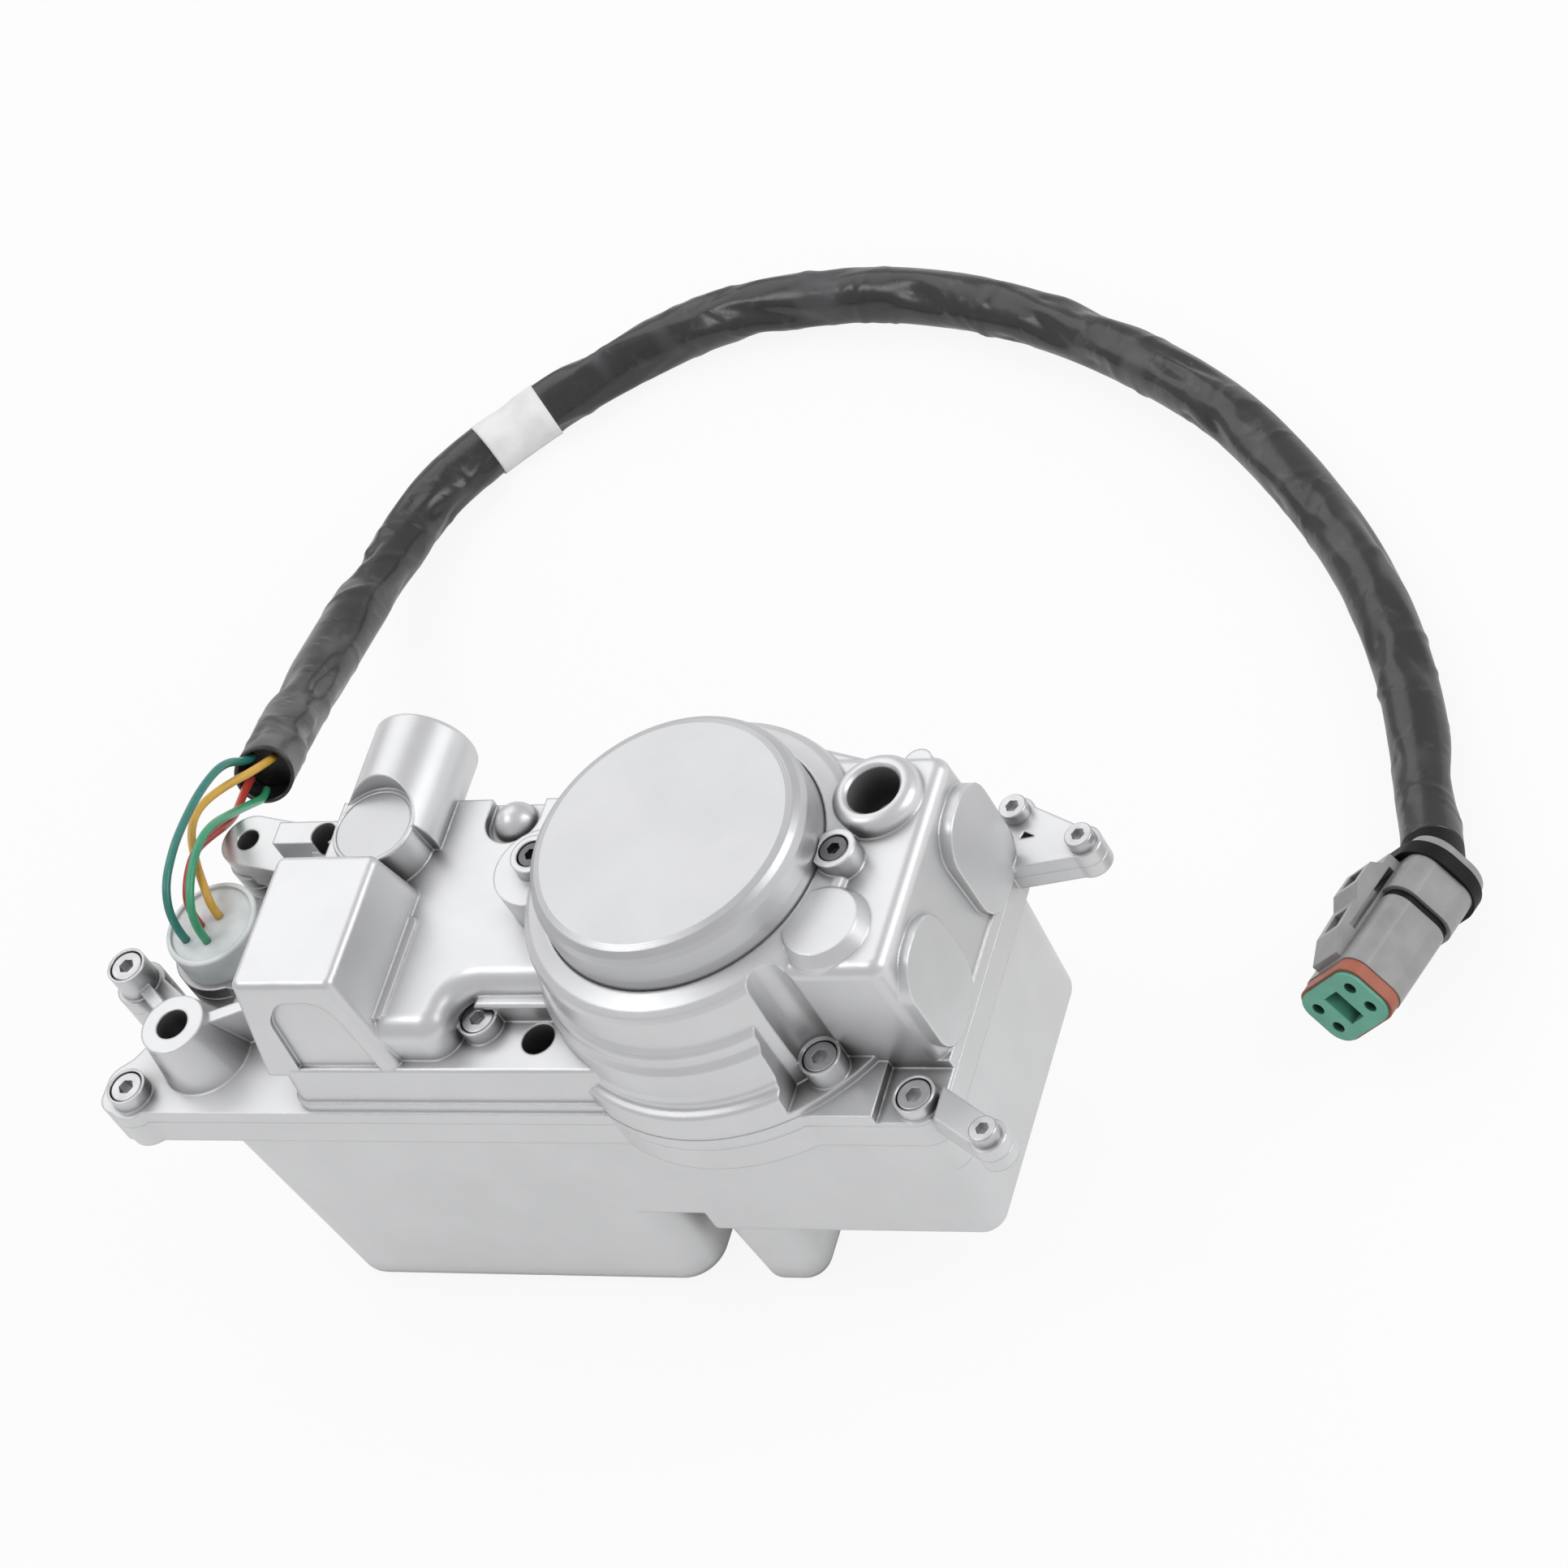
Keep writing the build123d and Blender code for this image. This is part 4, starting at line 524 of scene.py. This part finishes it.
class Look(Enum):
    """The finishes by the record's material slots."""

    CAST = CastMetal("cast_aluminium", (0.72, 0.723, 0.728), metallic=0.72)
    TURNED = TurnedMetal("turned_aluminium", (0.60, 0.603, 0.608), metallic=0.68, roughness=0.34,
                         centre=(0.0486, 0.0, 0.128))
    STEEL = Steel("steel", (0.60, 0.60, 0.61))
    DARK_STEEL = Steel("dark_steel", (0.16, 0.16, 0.17), roughness=0.4)
    LAMINATION = Steel("lamination", (0.38, 0.38, 0.40), roughness=0.5)
    COPPER = Coil("copper", (0.62, 0.27, 0.12))
    MAGNET = Steel("magnet", (0.22, 0.22, 0.24), roughness=0.3)
    RUBBER = Moulded("black_rubber", (0.008, 0.008, 0.009), roughness=0.5, gloss=1.28)
    SEAL = Moulded("red_seal", (0.40, 0.12, 0.07), roughness=0.45, painted_edge_highlight=1.1)
    POTTING = Moulded("potting", (0.78, 0.82, 0.82), roughness=0.35, coat=0.3, clear=0.4, painted_edge_highlight=1.05,
                      shadow=0.35)
    GREY = Moulded("grey_plastic", (0.31, 0.31, 0.305), roughness=0.33, coat=0.2, shadow_reach=0.006)
    GREEN = Moulded("green_plastic", (0.13, 0.42, 0.30), roughness=0.4, painted_edge_highlight=1.6, shadow=0.95)
    TAPE = Wrapped("black_tape", (0.017, 0.017, 0.018))
    WHITE_TAPE = Moulded("white_tape", (0.93, 0.93, 0.93), roughness=0.55, painted_edge_highlight=1.0)
    BOARD = Moulded("board", (0.03, 0.16, 0.07), roughness=0.4, coat=0.3)
    BLACK = Moulded("black_plastic", (0.03, 0.03, 0.03), roughness=0.5)
    CAN = Steel("can", (0.70, 0.70, 0.72), roughness=0.28)
    TEAL_WIRE = Moulded("teal_wire", (0.03, 0.23, 0.19), roughness=0.35, coat=0.3)
    GREEN_WIRE = Moulded("green_wire", (0.05, 0.36, 0.18), roughness=0.35, coat=0.3)
    AMBER_WIRE = Moulded("amber_wire", (0.76, 0.44, 0.06), roughness=0.35, coat=0.3)
    RED_WIRE = Moulded("red_wire", (0.55, 0.06, 0.04), roughness=0.35, coat=0.3)


class Wardrobe:
    """Makes each finish once and gives it to pieces."""

    def __init__(self) -> None:
        """Starts with no material made."""
        self.made: dict[str, bpy.types.Material] = {}

    def material(self, look: Look) -> bpy.types.Material:
        """Finds the material of a look, or makes it on first use.

        Args:
            look: the finish.

        Returns:
            Its material.
        """
        finish = look.value
        if finish.slot not in self.made:
            self.made[finish.slot] = finish.make()
        return self.made[finish.slot]

    def dress(self, piece: bpy.types.Object, look: Look) -> bpy.types.Object:
        """Gives a piece one finish all over.

        Args:
            piece: the mesh or curve object.
            look: the finish.

        Returns:
            The same object.
        """
        piece.data.materials.clear()
        piece.data.materials.append(self.material(look))
        return piece

    def dress_frame(self, frame: Mapping[str, Any]) -> None:
        """Gives every CAD node the finish of its record slot.
        """
        looks = {look.value.slot: look for look in Look}
        for part in frame["record"]["subparts"]:
            node = frame["nodes"][part["node"]]
            if not node.material_slots:
                node.data.materials.append(None)
            for spot in node.material_slots:
                spot.material = self.material(looks[part["material_slot"]])


@dataclass
class Line:
    """A smooth line through the air that a cord follows."""

    name: str
    points: Sequence[Point]
    steps: int = 12

    def curve(self) -> bpy.types.Object:
        """Adds the NURBS curve with the route's points as control points.

        Returns:
            The curve object.
        """
        data = bpy.data.curves.new(self.name, "CURVE")
        data.dimensions = "3D"
        data.resolution_u = self.steps
        spline = data.splines.new("NURBS")
        spline.points.add(len(self.points) - 1)
        for control, place in zip(spline.points, self.points):
            control.co = (*place, 1.0)
        spline.order_u = 3
        spline.use_endpoint_u = True
        curve = bpy.data.objects.new(self.name, data)
        bpy.context.scene.collection.objects.link(curve)
        return curve

    def trace(self) -> np.ndarray:
        """Reads the smooth line from the NURBS spline.

        Returns:
            Its points in order.
        """
        curve = self.curve()
        bpy.context.view_layer.update()
        mesh = bpy.data.meshes.new_from_object(curve)
        line = np.array([v.co for v in mesh.vertices], float)
        bpy.data.objects.remove(curve)
        bpy.data.meshes.remove(mesh)
        return line


@dataclass
class Wire:
    """One insulated wire from the potted cup to the sleeve."""

    node: str
    look: Look
    points: Sequence[Point]
    length: float
    radius: float = 0.0011

    def build(self, wardrobe: Wardrobe) -> None:
        """Args:
            wardrobe: gives the insulation's finish.
        """
        wire = Line(self.node + "_run", self.points).curve()
        wire.data.bevel_depth = self.radius
        wire.data.bevel_resolution = 5
        wire.data.use_fill_caps = True
        wardrobe.dress(wire, self.look)
        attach(wire, "housing")
        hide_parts(self.node)
        2 * self.radius
        log.info("%s in place of %s", wire.name, self.node)


@dataclass
class Sleeve:
    """Tape-wrapped sleeve of the pigtail with its bare label band."""

    # Route, tube and open mouth
    points: Sequence[Point]
    length: float
    radius: float = 0.0077
    around: int = 56
    fineness: int = 44
    wall: float = 0.0009
    mouth: float = 0.010

    # Label band, between two points of the route
    band_run: int = 5
    band_length: float = 0.021
    band_lift: float = 0.00035
    band_follow: float = 0.6
    band_edge_follow: float = 0.5

    # Flats, dents and creases of the skin
    flat_depth: float = 0.0011
    dents: int = 150
    dent_long: Range = (0.007, 0.020)
    dent_wide: Range = (0.35, 0.85)
    dent_depth: Range = (-0.0015, -0.0003)
    dent_lean: Range = (-45.0, 45.0)
    folds: int = 90
    fold_lean: Range = (-0.9, 0.9)
    fold_wide: Range = (0.5, 1.3)
    fold_sharp: Range = (0.0009, 0.0022)
    fold_height: Range = (0.00015, 0.0004)
    proud: float = 0.0004
    calm_run: float = 0.012
    seed: int = 11

    # Worked out by survey
    line: np.ndarray = field(init=False)
    sides: np.ndarray = field(init=False)
    ups: np.ndarray = field(init=False)
    reach: np.ndarray = field(init=False)
    skin: np.ndarray = field(init=False)

    def survey(self) -> None:
        """Reads the smooth line and works out a frame and a skin radius at each of its points."""
        self.line = Line("sleeve_line", self.points, self.fineness).trace()
        ahead = np.gradient(self.line, axis=0)
        ahead /= np.linalg.norm(ahead, axis=1)[:, None]
        # Each frame is the one before, squared to the new direction, so the skin never twists.
        side = np.cross(ahead[0], (0.0, 0.0, 1.0))
        sides = []
        for direction in ahead:
            side = side - direction * (side @ direction)
            side = side / np.linalg.norm(side)
            sides.append(side)
        self.sides = np.array(sides)
        self.ups = np.cross(self.sides, ahead)
        gaps = np.linalg.norm(np.diff(self.line, axis=0), axis=1)
        self.reach = np.concatenate([[0.0], np.cumsum(gaps)])
        self.skin = self.wrinkles()

    def angles(self) -> np.ndarray:
        """Angle of each point round a ring."""
        return np.linspace(0.0, 2 * math.pi, self.around, endpoint=False)

    def flats(self, along: np.ndarray, angle: np.ndarray) -> np.ndarray:
        """Works out three flats that turn slowly on their way along the sleeve.

        Args:
            along: place of each ring, as a column.
            angle: angle of each point round a ring, as a row.

        Returns:
            What the flats add to the radius.
        """
        slow = 1.2 * np.sin(along / 0.071)
        quick = 0.6 * np.sin(along / 0.029 + 1.0)
        swell = 0.6 + 0.4 * np.sin(along / 0.037 + 2.0)
        sharp = 1.0 - np.abs(np.sin(1.5 * (angle - (0.9 + slow + quick))))
        return self.flat_depth * (sharp - 0.5) * swell

    def dent(self, dice: random.Random, along: np.ndarray, angle: np.ndarray) -> np.ndarray:
        """Works out one long dent at a random place.

        Args:
            dice: source of the random draws.
            along: place of each ring, as a column.
            angle: angle of each point round a ring, as a row.

        Returns:
            What the dent adds to the radius.
        """
        spot, turn = dice.uniform(0.0, self.reach[-1]), dice.uniform(0.0, 2 * math.pi)
        long, wide = dice.uniform(*self.dent_long), dice.uniform(*self.dent_wide)
        depth = dice.uniform(*self.dent_depth)
        lean = dice.uniform(*self.dent_lean)
        away = (angle - turn - lean * (along - spot) + math.pi) % (2 * math.pi) - math.pi
        far = np.sqrt(((along - spot) / long) ** 2 + (away / wide) ** 2)
        return depth * np.clip(1.0 - far, 0.0, 1.0) ** 1.3

    def fold(self, dice: random.Random, along: np.ndarray, angle: np.ndarray) -> np.ndarray:
        """Works out one raised crease at a random place.

        Args:
            dice: source of the random draws.
            along: place of each ring, as a column.
            angle: angle of each point round a ring, as a row.

        Returns:
            What the crease adds to the radius.
        """
        spot, turn = dice.uniform(0.0, self.reach[-1]), dice.uniform(0.0, 2 * math.pi)
        lean, wide = dice.uniform(*self.fold_lean), dice.uniform(*self.fold_wide)
        away = (angle - turn + math.pi) % (2 * math.pi) - math.pi
        ridge = (along - spot - lean * self.radius * away) / dice.uniform(*self.fold_sharp)
        return dice.uniform(*self.fold_height) * np.exp(-(ridge ** 2) - (away / wide) ** 2)

    def wrinkles(self) -> np.ndarray:
        """Works out the skin with its flats, dents and creases, calm at both ends.

        Returns:
            Its radius at each ring and angle.
        """
        dice = random.Random(self.seed)
        along = self.reach[:, None]
        angle = self.angles()[None, :]
        skin = np.full((len(self.line), self.around), self.radius)
        skin += self.flats(along, angle)
        for _ in range(self.dents):
            skin += self.dent(dice, along, angle)
        for _ in range(self.folds):
            skin += self.fold(dice, along, angle)
        calm = np.clip(np.minimum(along, self.reach[-1] - along) / self.calm_run, 0.0, 1.0)
        return self.radius + np.minimum(skin - self.radius, self.proud) * calm

    def eased(self, index: int, follow: float) -> np.ndarray:
        """Radii of a ring between the plain round and the skin."""
        return np.full(self.around, self.radius) * (1.0 - follow) + self.skin[index] * follow

    def ring(self, index: int, radii: np.ndarray) -> np.ndarray:
        """Places the points of one ring.

        Args:
            index: which point of the line it stands on.
            radii: its radius at each angle.

        Returns:
            The points.
        """
        angle = self.angles()
        side = np.cos(angle)[:, None] * self.sides[index]
        up = np.sin(angle)[:, None] * self.ups[index]
        return self.line[index] + radii[:, None] * (side + up)

    def tube(self, name: str, rings: Sequence[np.ndarray], stations: Sequence[float]) -> bpy.types.Object:
        """Makes a closed tube skin of rings, with a UV map called along.

        Args:
            name: the object's name.
            rings: points of each ring in order.
            stations: place of each ring along the sleeve, in metres.

        Returns:
            The mesh object, in place.
        """
        mesh = bpy.data.meshes.new(name)
        work = bmesh.new()
        layer = work.loops.layers.uv.new(UV_ALONG)
        grid = [[work.verts.new(p) for p in ring] for ring in rings]
        for row in range(len(grid) - 1):
            for col in range(self.around):
                spots = ((row, col), (row, col + 1), (row + 1, col + 1), (row + 1, col))
                face = work.faces.new([grid[r][c % self.around] for r, c in spots])
                face.smooth = True
                for loop, (r, c) in zip(face.loops, spots):
                    loop[layer].uv = (stations[r], c / self.around)
        work.faces.new(list(reversed(grid[0])))
        work.faces.new(grid[-1])
        bmesh.ops.recalc_face_normals(work, faces=work.faces)
        work.to_mesh(mesh)
        work.free()
        piece = bpy.data.objects.new(name, mesh)
        bpy.context.scene.collection.objects.link(piece)
        return piece

    def sleeve(self) -> bpy.types.Object:
        """Makes the sleeve, open at its mouth where the wires go in.

        Returns:
            The mesh object, in place.
        """
        inner = np.full(self.around, self.radius - self.wall)
        inside = range(int(np.searchsorted(self.reach, self.mouth)), -1, -1)
        rings = [self.ring(i, inner) for i in inside]
        stations = [self.reach[i] for i in inside]
        for index in range(len(self.line)):
            rings.append(self.ring(index, self.skin[index]))
            stations.append(self.reach[index])
        return self.tube("sleeve_skin", rings, stations)

    def band(self) -> bpy.types.Object:
        """Makes the bare label band, a thin wrap over the sleeve's skin.

        Returns:
            The mesh object, in place.
        """
        middle = (np.array(self.points[self.band_run]) + np.array(self.points[self.band_run + 1])) / 2
        centre = int(np.argmin(np.linalg.norm(self.line - middle, axis=1)))
        start = self.reach[centre] - self.band_length / 2
        inside = [i for i in range(len(self.line)) if 0 <= self.reach[i] - start <= self.band_length]
        rings = [self.ring(i, self.eased(i, self.band_follow) + self.band_lift) for i in inside]
        rings.insert(0, self.ring(inside[0], self.eased(inside[0], self.band_edge_follow)))
        rings.append(self.ring(inside[-1], self.eased(inside[-1], self.band_edge_follow)))
        stations = [self.reach[i] for i in (inside[0], *inside, inside[-1])]
        return self.tube("label_wrap", rings, stations)

    def build(self, wardrobe: Wardrobe, riders: Sequence[bpy.types.Object]) -> None:
        """Args:
            wardrobe: gives the finishes.
            riders: the CAD pieces on the sleeve's far end; not used.
        """
        self.survey()
        skin = wardrobe.dress(self.sleeve(), Look.TAPE)
        band = wardrobe.dress(self.band(), Look.WHITE_TAPE)
        for piece, node in ((skin, "harness_sleeve"), (band, "label_band")):
            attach(piece, "housing")
            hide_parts(node)
            log.info("%s in place of %s", piece.name, node)
        2 * self.radius


@dataclass
class EndWebs:
    """Two cast webs that close the cover plate over the tub's end wall, on both sides of the wire cup."""

    start: float = -0.0950
    end: float = -0.0864
    bottom: float = 0.07205
    top: float = 0.0756
    edge: float = 0.0008
    spans: Mapping[str, Range] = field(default_factory=lambda: {
        "end_web_back": (0.0157, 0.0259),
        "end_web_front": (-0.0145, -0.0069)})

    def web(self, name: str, low: float, high: float) -> bpy.types.Object:
        """Models one web with soft upper edges.

        Args:
            name: the piece's name.
            low: its lower end along Y.
            high: its upper end along Y.

        Returns:
            The mesh object, in place.
        """
        size = (self.end - self.start, high - low, self.top - self.bottom)
        centre = ((self.start + self.end) / 2, (low + high) / 2, (self.bottom + self.top) / 2)
        bpy.ops.mesh.primitive_cube_add(size=1.0, location=centre)
        piece = bpy.context.object
        piece.name = name
        piece.scale = size
        bpy.ops.object.transform_apply(location=True, rotation=True, scale=True)
        bpy.ops.object.mode_set(mode="EDIT")
        bpy.ops.mesh.select_all(action="DESELECT")
        work = bmesh.from_edit_mesh(piece.data)
        for edge in work.edges:
            edge.select_set(max(corner.co.z for corner in edge.verts) > self.top - self.edge / 2)
        bmesh.update_edit_mesh(piece.data)
        bpy.ops.mesh.bevel(offset=self.edge, segments=4)
        bpy.ops.object.mode_set(mode="OBJECT")
        bpy.ops.object.shade_smooth_by_angle()
        return piece

    def build(self, wardrobe: Wardrobe) -> None:
        """Makes and dresses both webs.

        Args:
            wardrobe: gives the finish.
        """
        for name, (low, high) in self.spans.items():
            bpy.ops.object.select_all(action="DESELECT")
            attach(wardrobe.dress(self.web(name, low, high), Look.CAST), "housing")
            log.info("%s beside the wire cup", name)


@dataclass(frozen=True)
class Lamp:
    """A square soft lamp, with its size in metres and its power in watts."""

    name: str
    place: Point
    size: float
    power: float


@dataclass
class Studio:
    """Pale floor, soft lamps, white surround and the camera."""

    # Camera, at the photograph's angle
    place: Point = (0.73093, -0.69096, 1.08372)
    turn: Point = (0.690648, 0.415444, 0.2946)
    lens: float = 136.7457
    sensor: float = 36.0
    nearest: float = 0.01
    farthest: float = 50.0

    # Lamps, all turned to one target
    target: Point = (0.0, 0.08, 0.04)
    lamps: Sequence[Lamp] = (
        Lamp("sky", (-1.05, 1.15, 1.55), size=1.6, power=7.4),
        Lamp("key", (-0.60, -0.10, 1.25), size=0.4, power=2.0),
        Lamp("side", (1.25, 0.35, 0.80), size=0.9, power=6.6))

    # Floor and surround
    floor_size: float = 8.0
    floor_colour: Colour = (0.86, 0.86, 0.86)
    floor_roughness: float = 0.9
    floor_glow: float = 0.9
    floor_shine: float = 0.56
    surround: Colour = (0.60, 0.60, 0.61)
    white: Colour = (1.0, 1.0, 1.0)

    def camera(self) -> None:
        """Adds the camera and looks through it."""
        bpy.ops.object.camera_add(location=self.place, rotation=self.turn)
        camera = bpy.context.object
        camera.data.lens = self.lens
        camera.data.sensor_width = self.sensor
        camera.data.clip_start = self.nearest
        camera.data.clip_end = self.farthest
        bpy.context.scene.camera = camera

    def light(self, lamp: Lamp) -> None:
        """Adds a lamp that faces the part.

        Args:
            lamp: the lamp's place and values.
        """
        aim = Vector(self.target) - Vector(lamp.place)
        turn = aim.to_track_quat("-Z", "Y").to_euler()
        bpy.ops.object.light_add(type="AREA", location=lamp.place, rotation=turn)
        light = bpy.context.object
        light.name = lamp.name
        light.data.size = lamp.size
        light.data.energy = lamp.power

    def seen(self, g: Graph) -> Signal:
        """Shares out the white glow by kind of ray: most for the camera, less for reflections.

        Args:
            g: the floor's graph.

        Returns:
            The share.
        """
        kinds = ("Camera", "Glossy", "Transmission")
        path = g.node("ShaderNodeLightPath")
        camera, gloss, through = (Signal(g, path.outputs[f"Is {kind} Ray"]) for kind in kinds)
        return (camera + through) * self.floor_glow + gloss * self.floor_shine

    def floor(self) -> None:
        """Adds the pale floor, which keeps a soft shadow."""
        bpy.ops.mesh.primitive_plane_add(size=self.floor_size, location=(0.0, 0.0, 0.0))
        floor = bpy.context.object
        floor.name = "floor"
        g = Graph("floor_white")
        # Most of what shows is a plain white glow. The rest is shaded paint, which keeps the shadow.
        paint = g.finish(Base_Color=self.floor_colour, Roughness=self.floor_roughness)
        glow = g.value("ShaderNodeEmission", {}, {"Color": self.white, "Strength": 1.0})
        both = g.value("ShaderNodeMixShader", {}, {0: self.seen(g), 1: g.shader.outputs[0], 2: glow})
        g.plug(g.output.inputs["Surface"], both)
        floor.data.materials.append(paint)

    def world(self) -> None:
        """Makes the surround: white to the camera, soft grey as light."""
        world = bpy.data.worlds.new("surround")
        bpy.context.scene.world = world
        world.use_nodes = True
        tree = world.node_tree
        tree.nodes.clear()
        path = tree.nodes.new("ShaderNodeLightPath")
        grey = tree.nodes.new("ShaderNodeBackground")
        grey.inputs["Color"].default_value = (*self.surround, 1.0)
        white = tree.nodes.new("ShaderNodeBackground")
        white.inputs["Color"].default_value = (*self.white, 1.0)
        mix = tree.nodes.new("ShaderNodeMixShader")
        out = tree.nodes.new("ShaderNodeOutputWorld")
        tree.links.new(path.outputs["Is Camera Ray"], mix.inputs[0])
        tree.links.new(grey.outputs[0], mix.inputs[1])
        tree.links.new(white.outputs[0], mix.inputs[2])
        tree.links.new(mix.outputs[0], out.inputs["Surface"])

    def build(self) -> None:
        """Adds all of the studio."""
        self.camera()
        self.floor()
        self.world()
        for lamp in self.lamps:
            self.light(lamp)
        bpy.context.scene.view_settings.view_transform = "Standard"
        log.info("floor, surround, camera and %d lamps", len(self.lamps))


@dataclass(frozen=True)
class WireRun:
    """A wire's look, its length in metres and its route from the motor axis in millimetres."""

    look: Look
    length: float
    route: Sequence[Point]


@dataclass
class Pigtail:
    """The wires and the sleeve of the part. Routes are in millimetres from the motor axis."""

    shift: float = 0.0486
    sleeve_length: float = 0.6037
    sleeve_route: Sequence[Point] = (
        (-163.0, 61.0, 72.0), (-173.5, 84.0, 57.5), (-188.0, 124.0, 35.0), (-195.5, 158.0, 20.0),
        (-197.5, 186.0, 10.5), (-191.5, 209.5, 8.15), (-159.0, 240.5, 8.15), (-138.5, 255.0, 8.15),
        (-112.0, 264.0, 8.15), (-80.0, 267.0, 8.15), (-44.0, 260.8, 8.15), (-6.0, 246.6, 8.15),
        (38.4, 220.2, 8.15), (68.6, 191.5, 8.15), (96.4, 158.9, 8.15), (114.5, 124.5, 8.15),
        (126.5, 90.0, 8.15), (132.548, 73.57, 11.706))
    wires: Mapping[str, WireRun] = field(default_factory=lambda: {
        "wire_teal": WireRun(Look.TEAL_WIRE, length=0.0811, route=(
            (-157.4, 2.0, 83.8), (-157.4, 2.0, 91.5), (-158.7, 8.5, 97.2), (-159.8, 19.0, 98.3),
            (-163.2, 30.0, 94.3), (-164.7, 43.0, 91.0), (-165.2, 55.0, 86.0), (-165.8, 62.0, 76.4),
            (-167.0, 65.5, 74.0))),
        "wire_green": WireRun(Look.GREEN_WIRE, length=0.0829, route=(
            (-151.0, 1.6, 83.8), (-151.0, 1.6, 91.5), (-151.6, 8.5, 97.0), (-153.0, 19.0, 98.2),
            (-154.8, 29.0, 94.5), (-158.3, 41.0, 83.5), (-161.8, 51.0, 73.5), (-164.0, 57.0, 67.4),
            (-165.6, 60.8, 65.8))),
        "wire_amber": WireRun(Look.AMBER_WIRE, length=0.0694, route=(
            (-150.2, 9.0, 83.8), (-150.2, 9.0, 88.0), (-152.5, 13.0, 90.3), (-158.2, 21.0, 90.4),
            (-164.0, 31.0, 89.8), (-167.2, 41.0, 86.3), (-165.0, 50.0, 82.5), (-160.6, 58.5, 78.0),
            (-161.5, 66.6, 72.3))),
        "wire_red": WireRun(Look.RED_WIRE, length=0.0710, route=(
            (-154.6, 6.2, 83.8), (-154.6, 6.2, 91.0), (-155.0, 12.5, 95.0), (-156.6, 21.5, 94.2),
            (-158.4, 30.0, 88.5), (-161.2, 42.0, 79.0), (-165.2, 53.0, 74.2), (-167.2, 58.6, 71.6),
            (-168.4, 61.6, 69.6)))})
    riders: Sequence[str] = (
        "connector_shell", "connector_boot", "connector_seal", "wedge_lock", "contact_sockets")

    def metres(self, points: Sequence[Point]) -> list[Point]:
        """The route's points, taken from the motor axis in millimetres to the row frame in metres."""
        return [(x / 1000 + self.shift, y / 1000, z / 1000) for x, y, z in points]

    def build(self, wardrobe: Wardrobe, nodes: Mapping[str, bpy.types.Object]) -> None:
        """Makes the wires and the sleeve with its band.

        Args:
            wardrobe: gives the finishes.
            nodes: the CAD nodes by name.
        """
        for name, run in self.wires.items():
            Wire(name, run.look, self.metres(run.route), run.length).build(wardrobe)
        sleeve = Sleeve(self.metres(self.sleeve_route), self.sleeve_length)
        sleeve.build(wardrobe, [nodes[name] for name in self.riders])


def main() -> None:
    """Builds the scene round the CAD frame."""
    logging.basicConfig(level=logging.INFO, format="%(name)s: %(message)s")
    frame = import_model()
    bpy.ops.object.select_all(action="DESELECT")
    Studio().build()
    wardrobe = Wardrobe()
    wardrobe.dress_frame(frame)
    log.info("%d nodes dressed", len(frame["nodes"]))
    Pigtail().build(wardrobe, frame["nodes"])
    EndWebs().build(wardrobe)


if __name__ == "__main__":
    main()
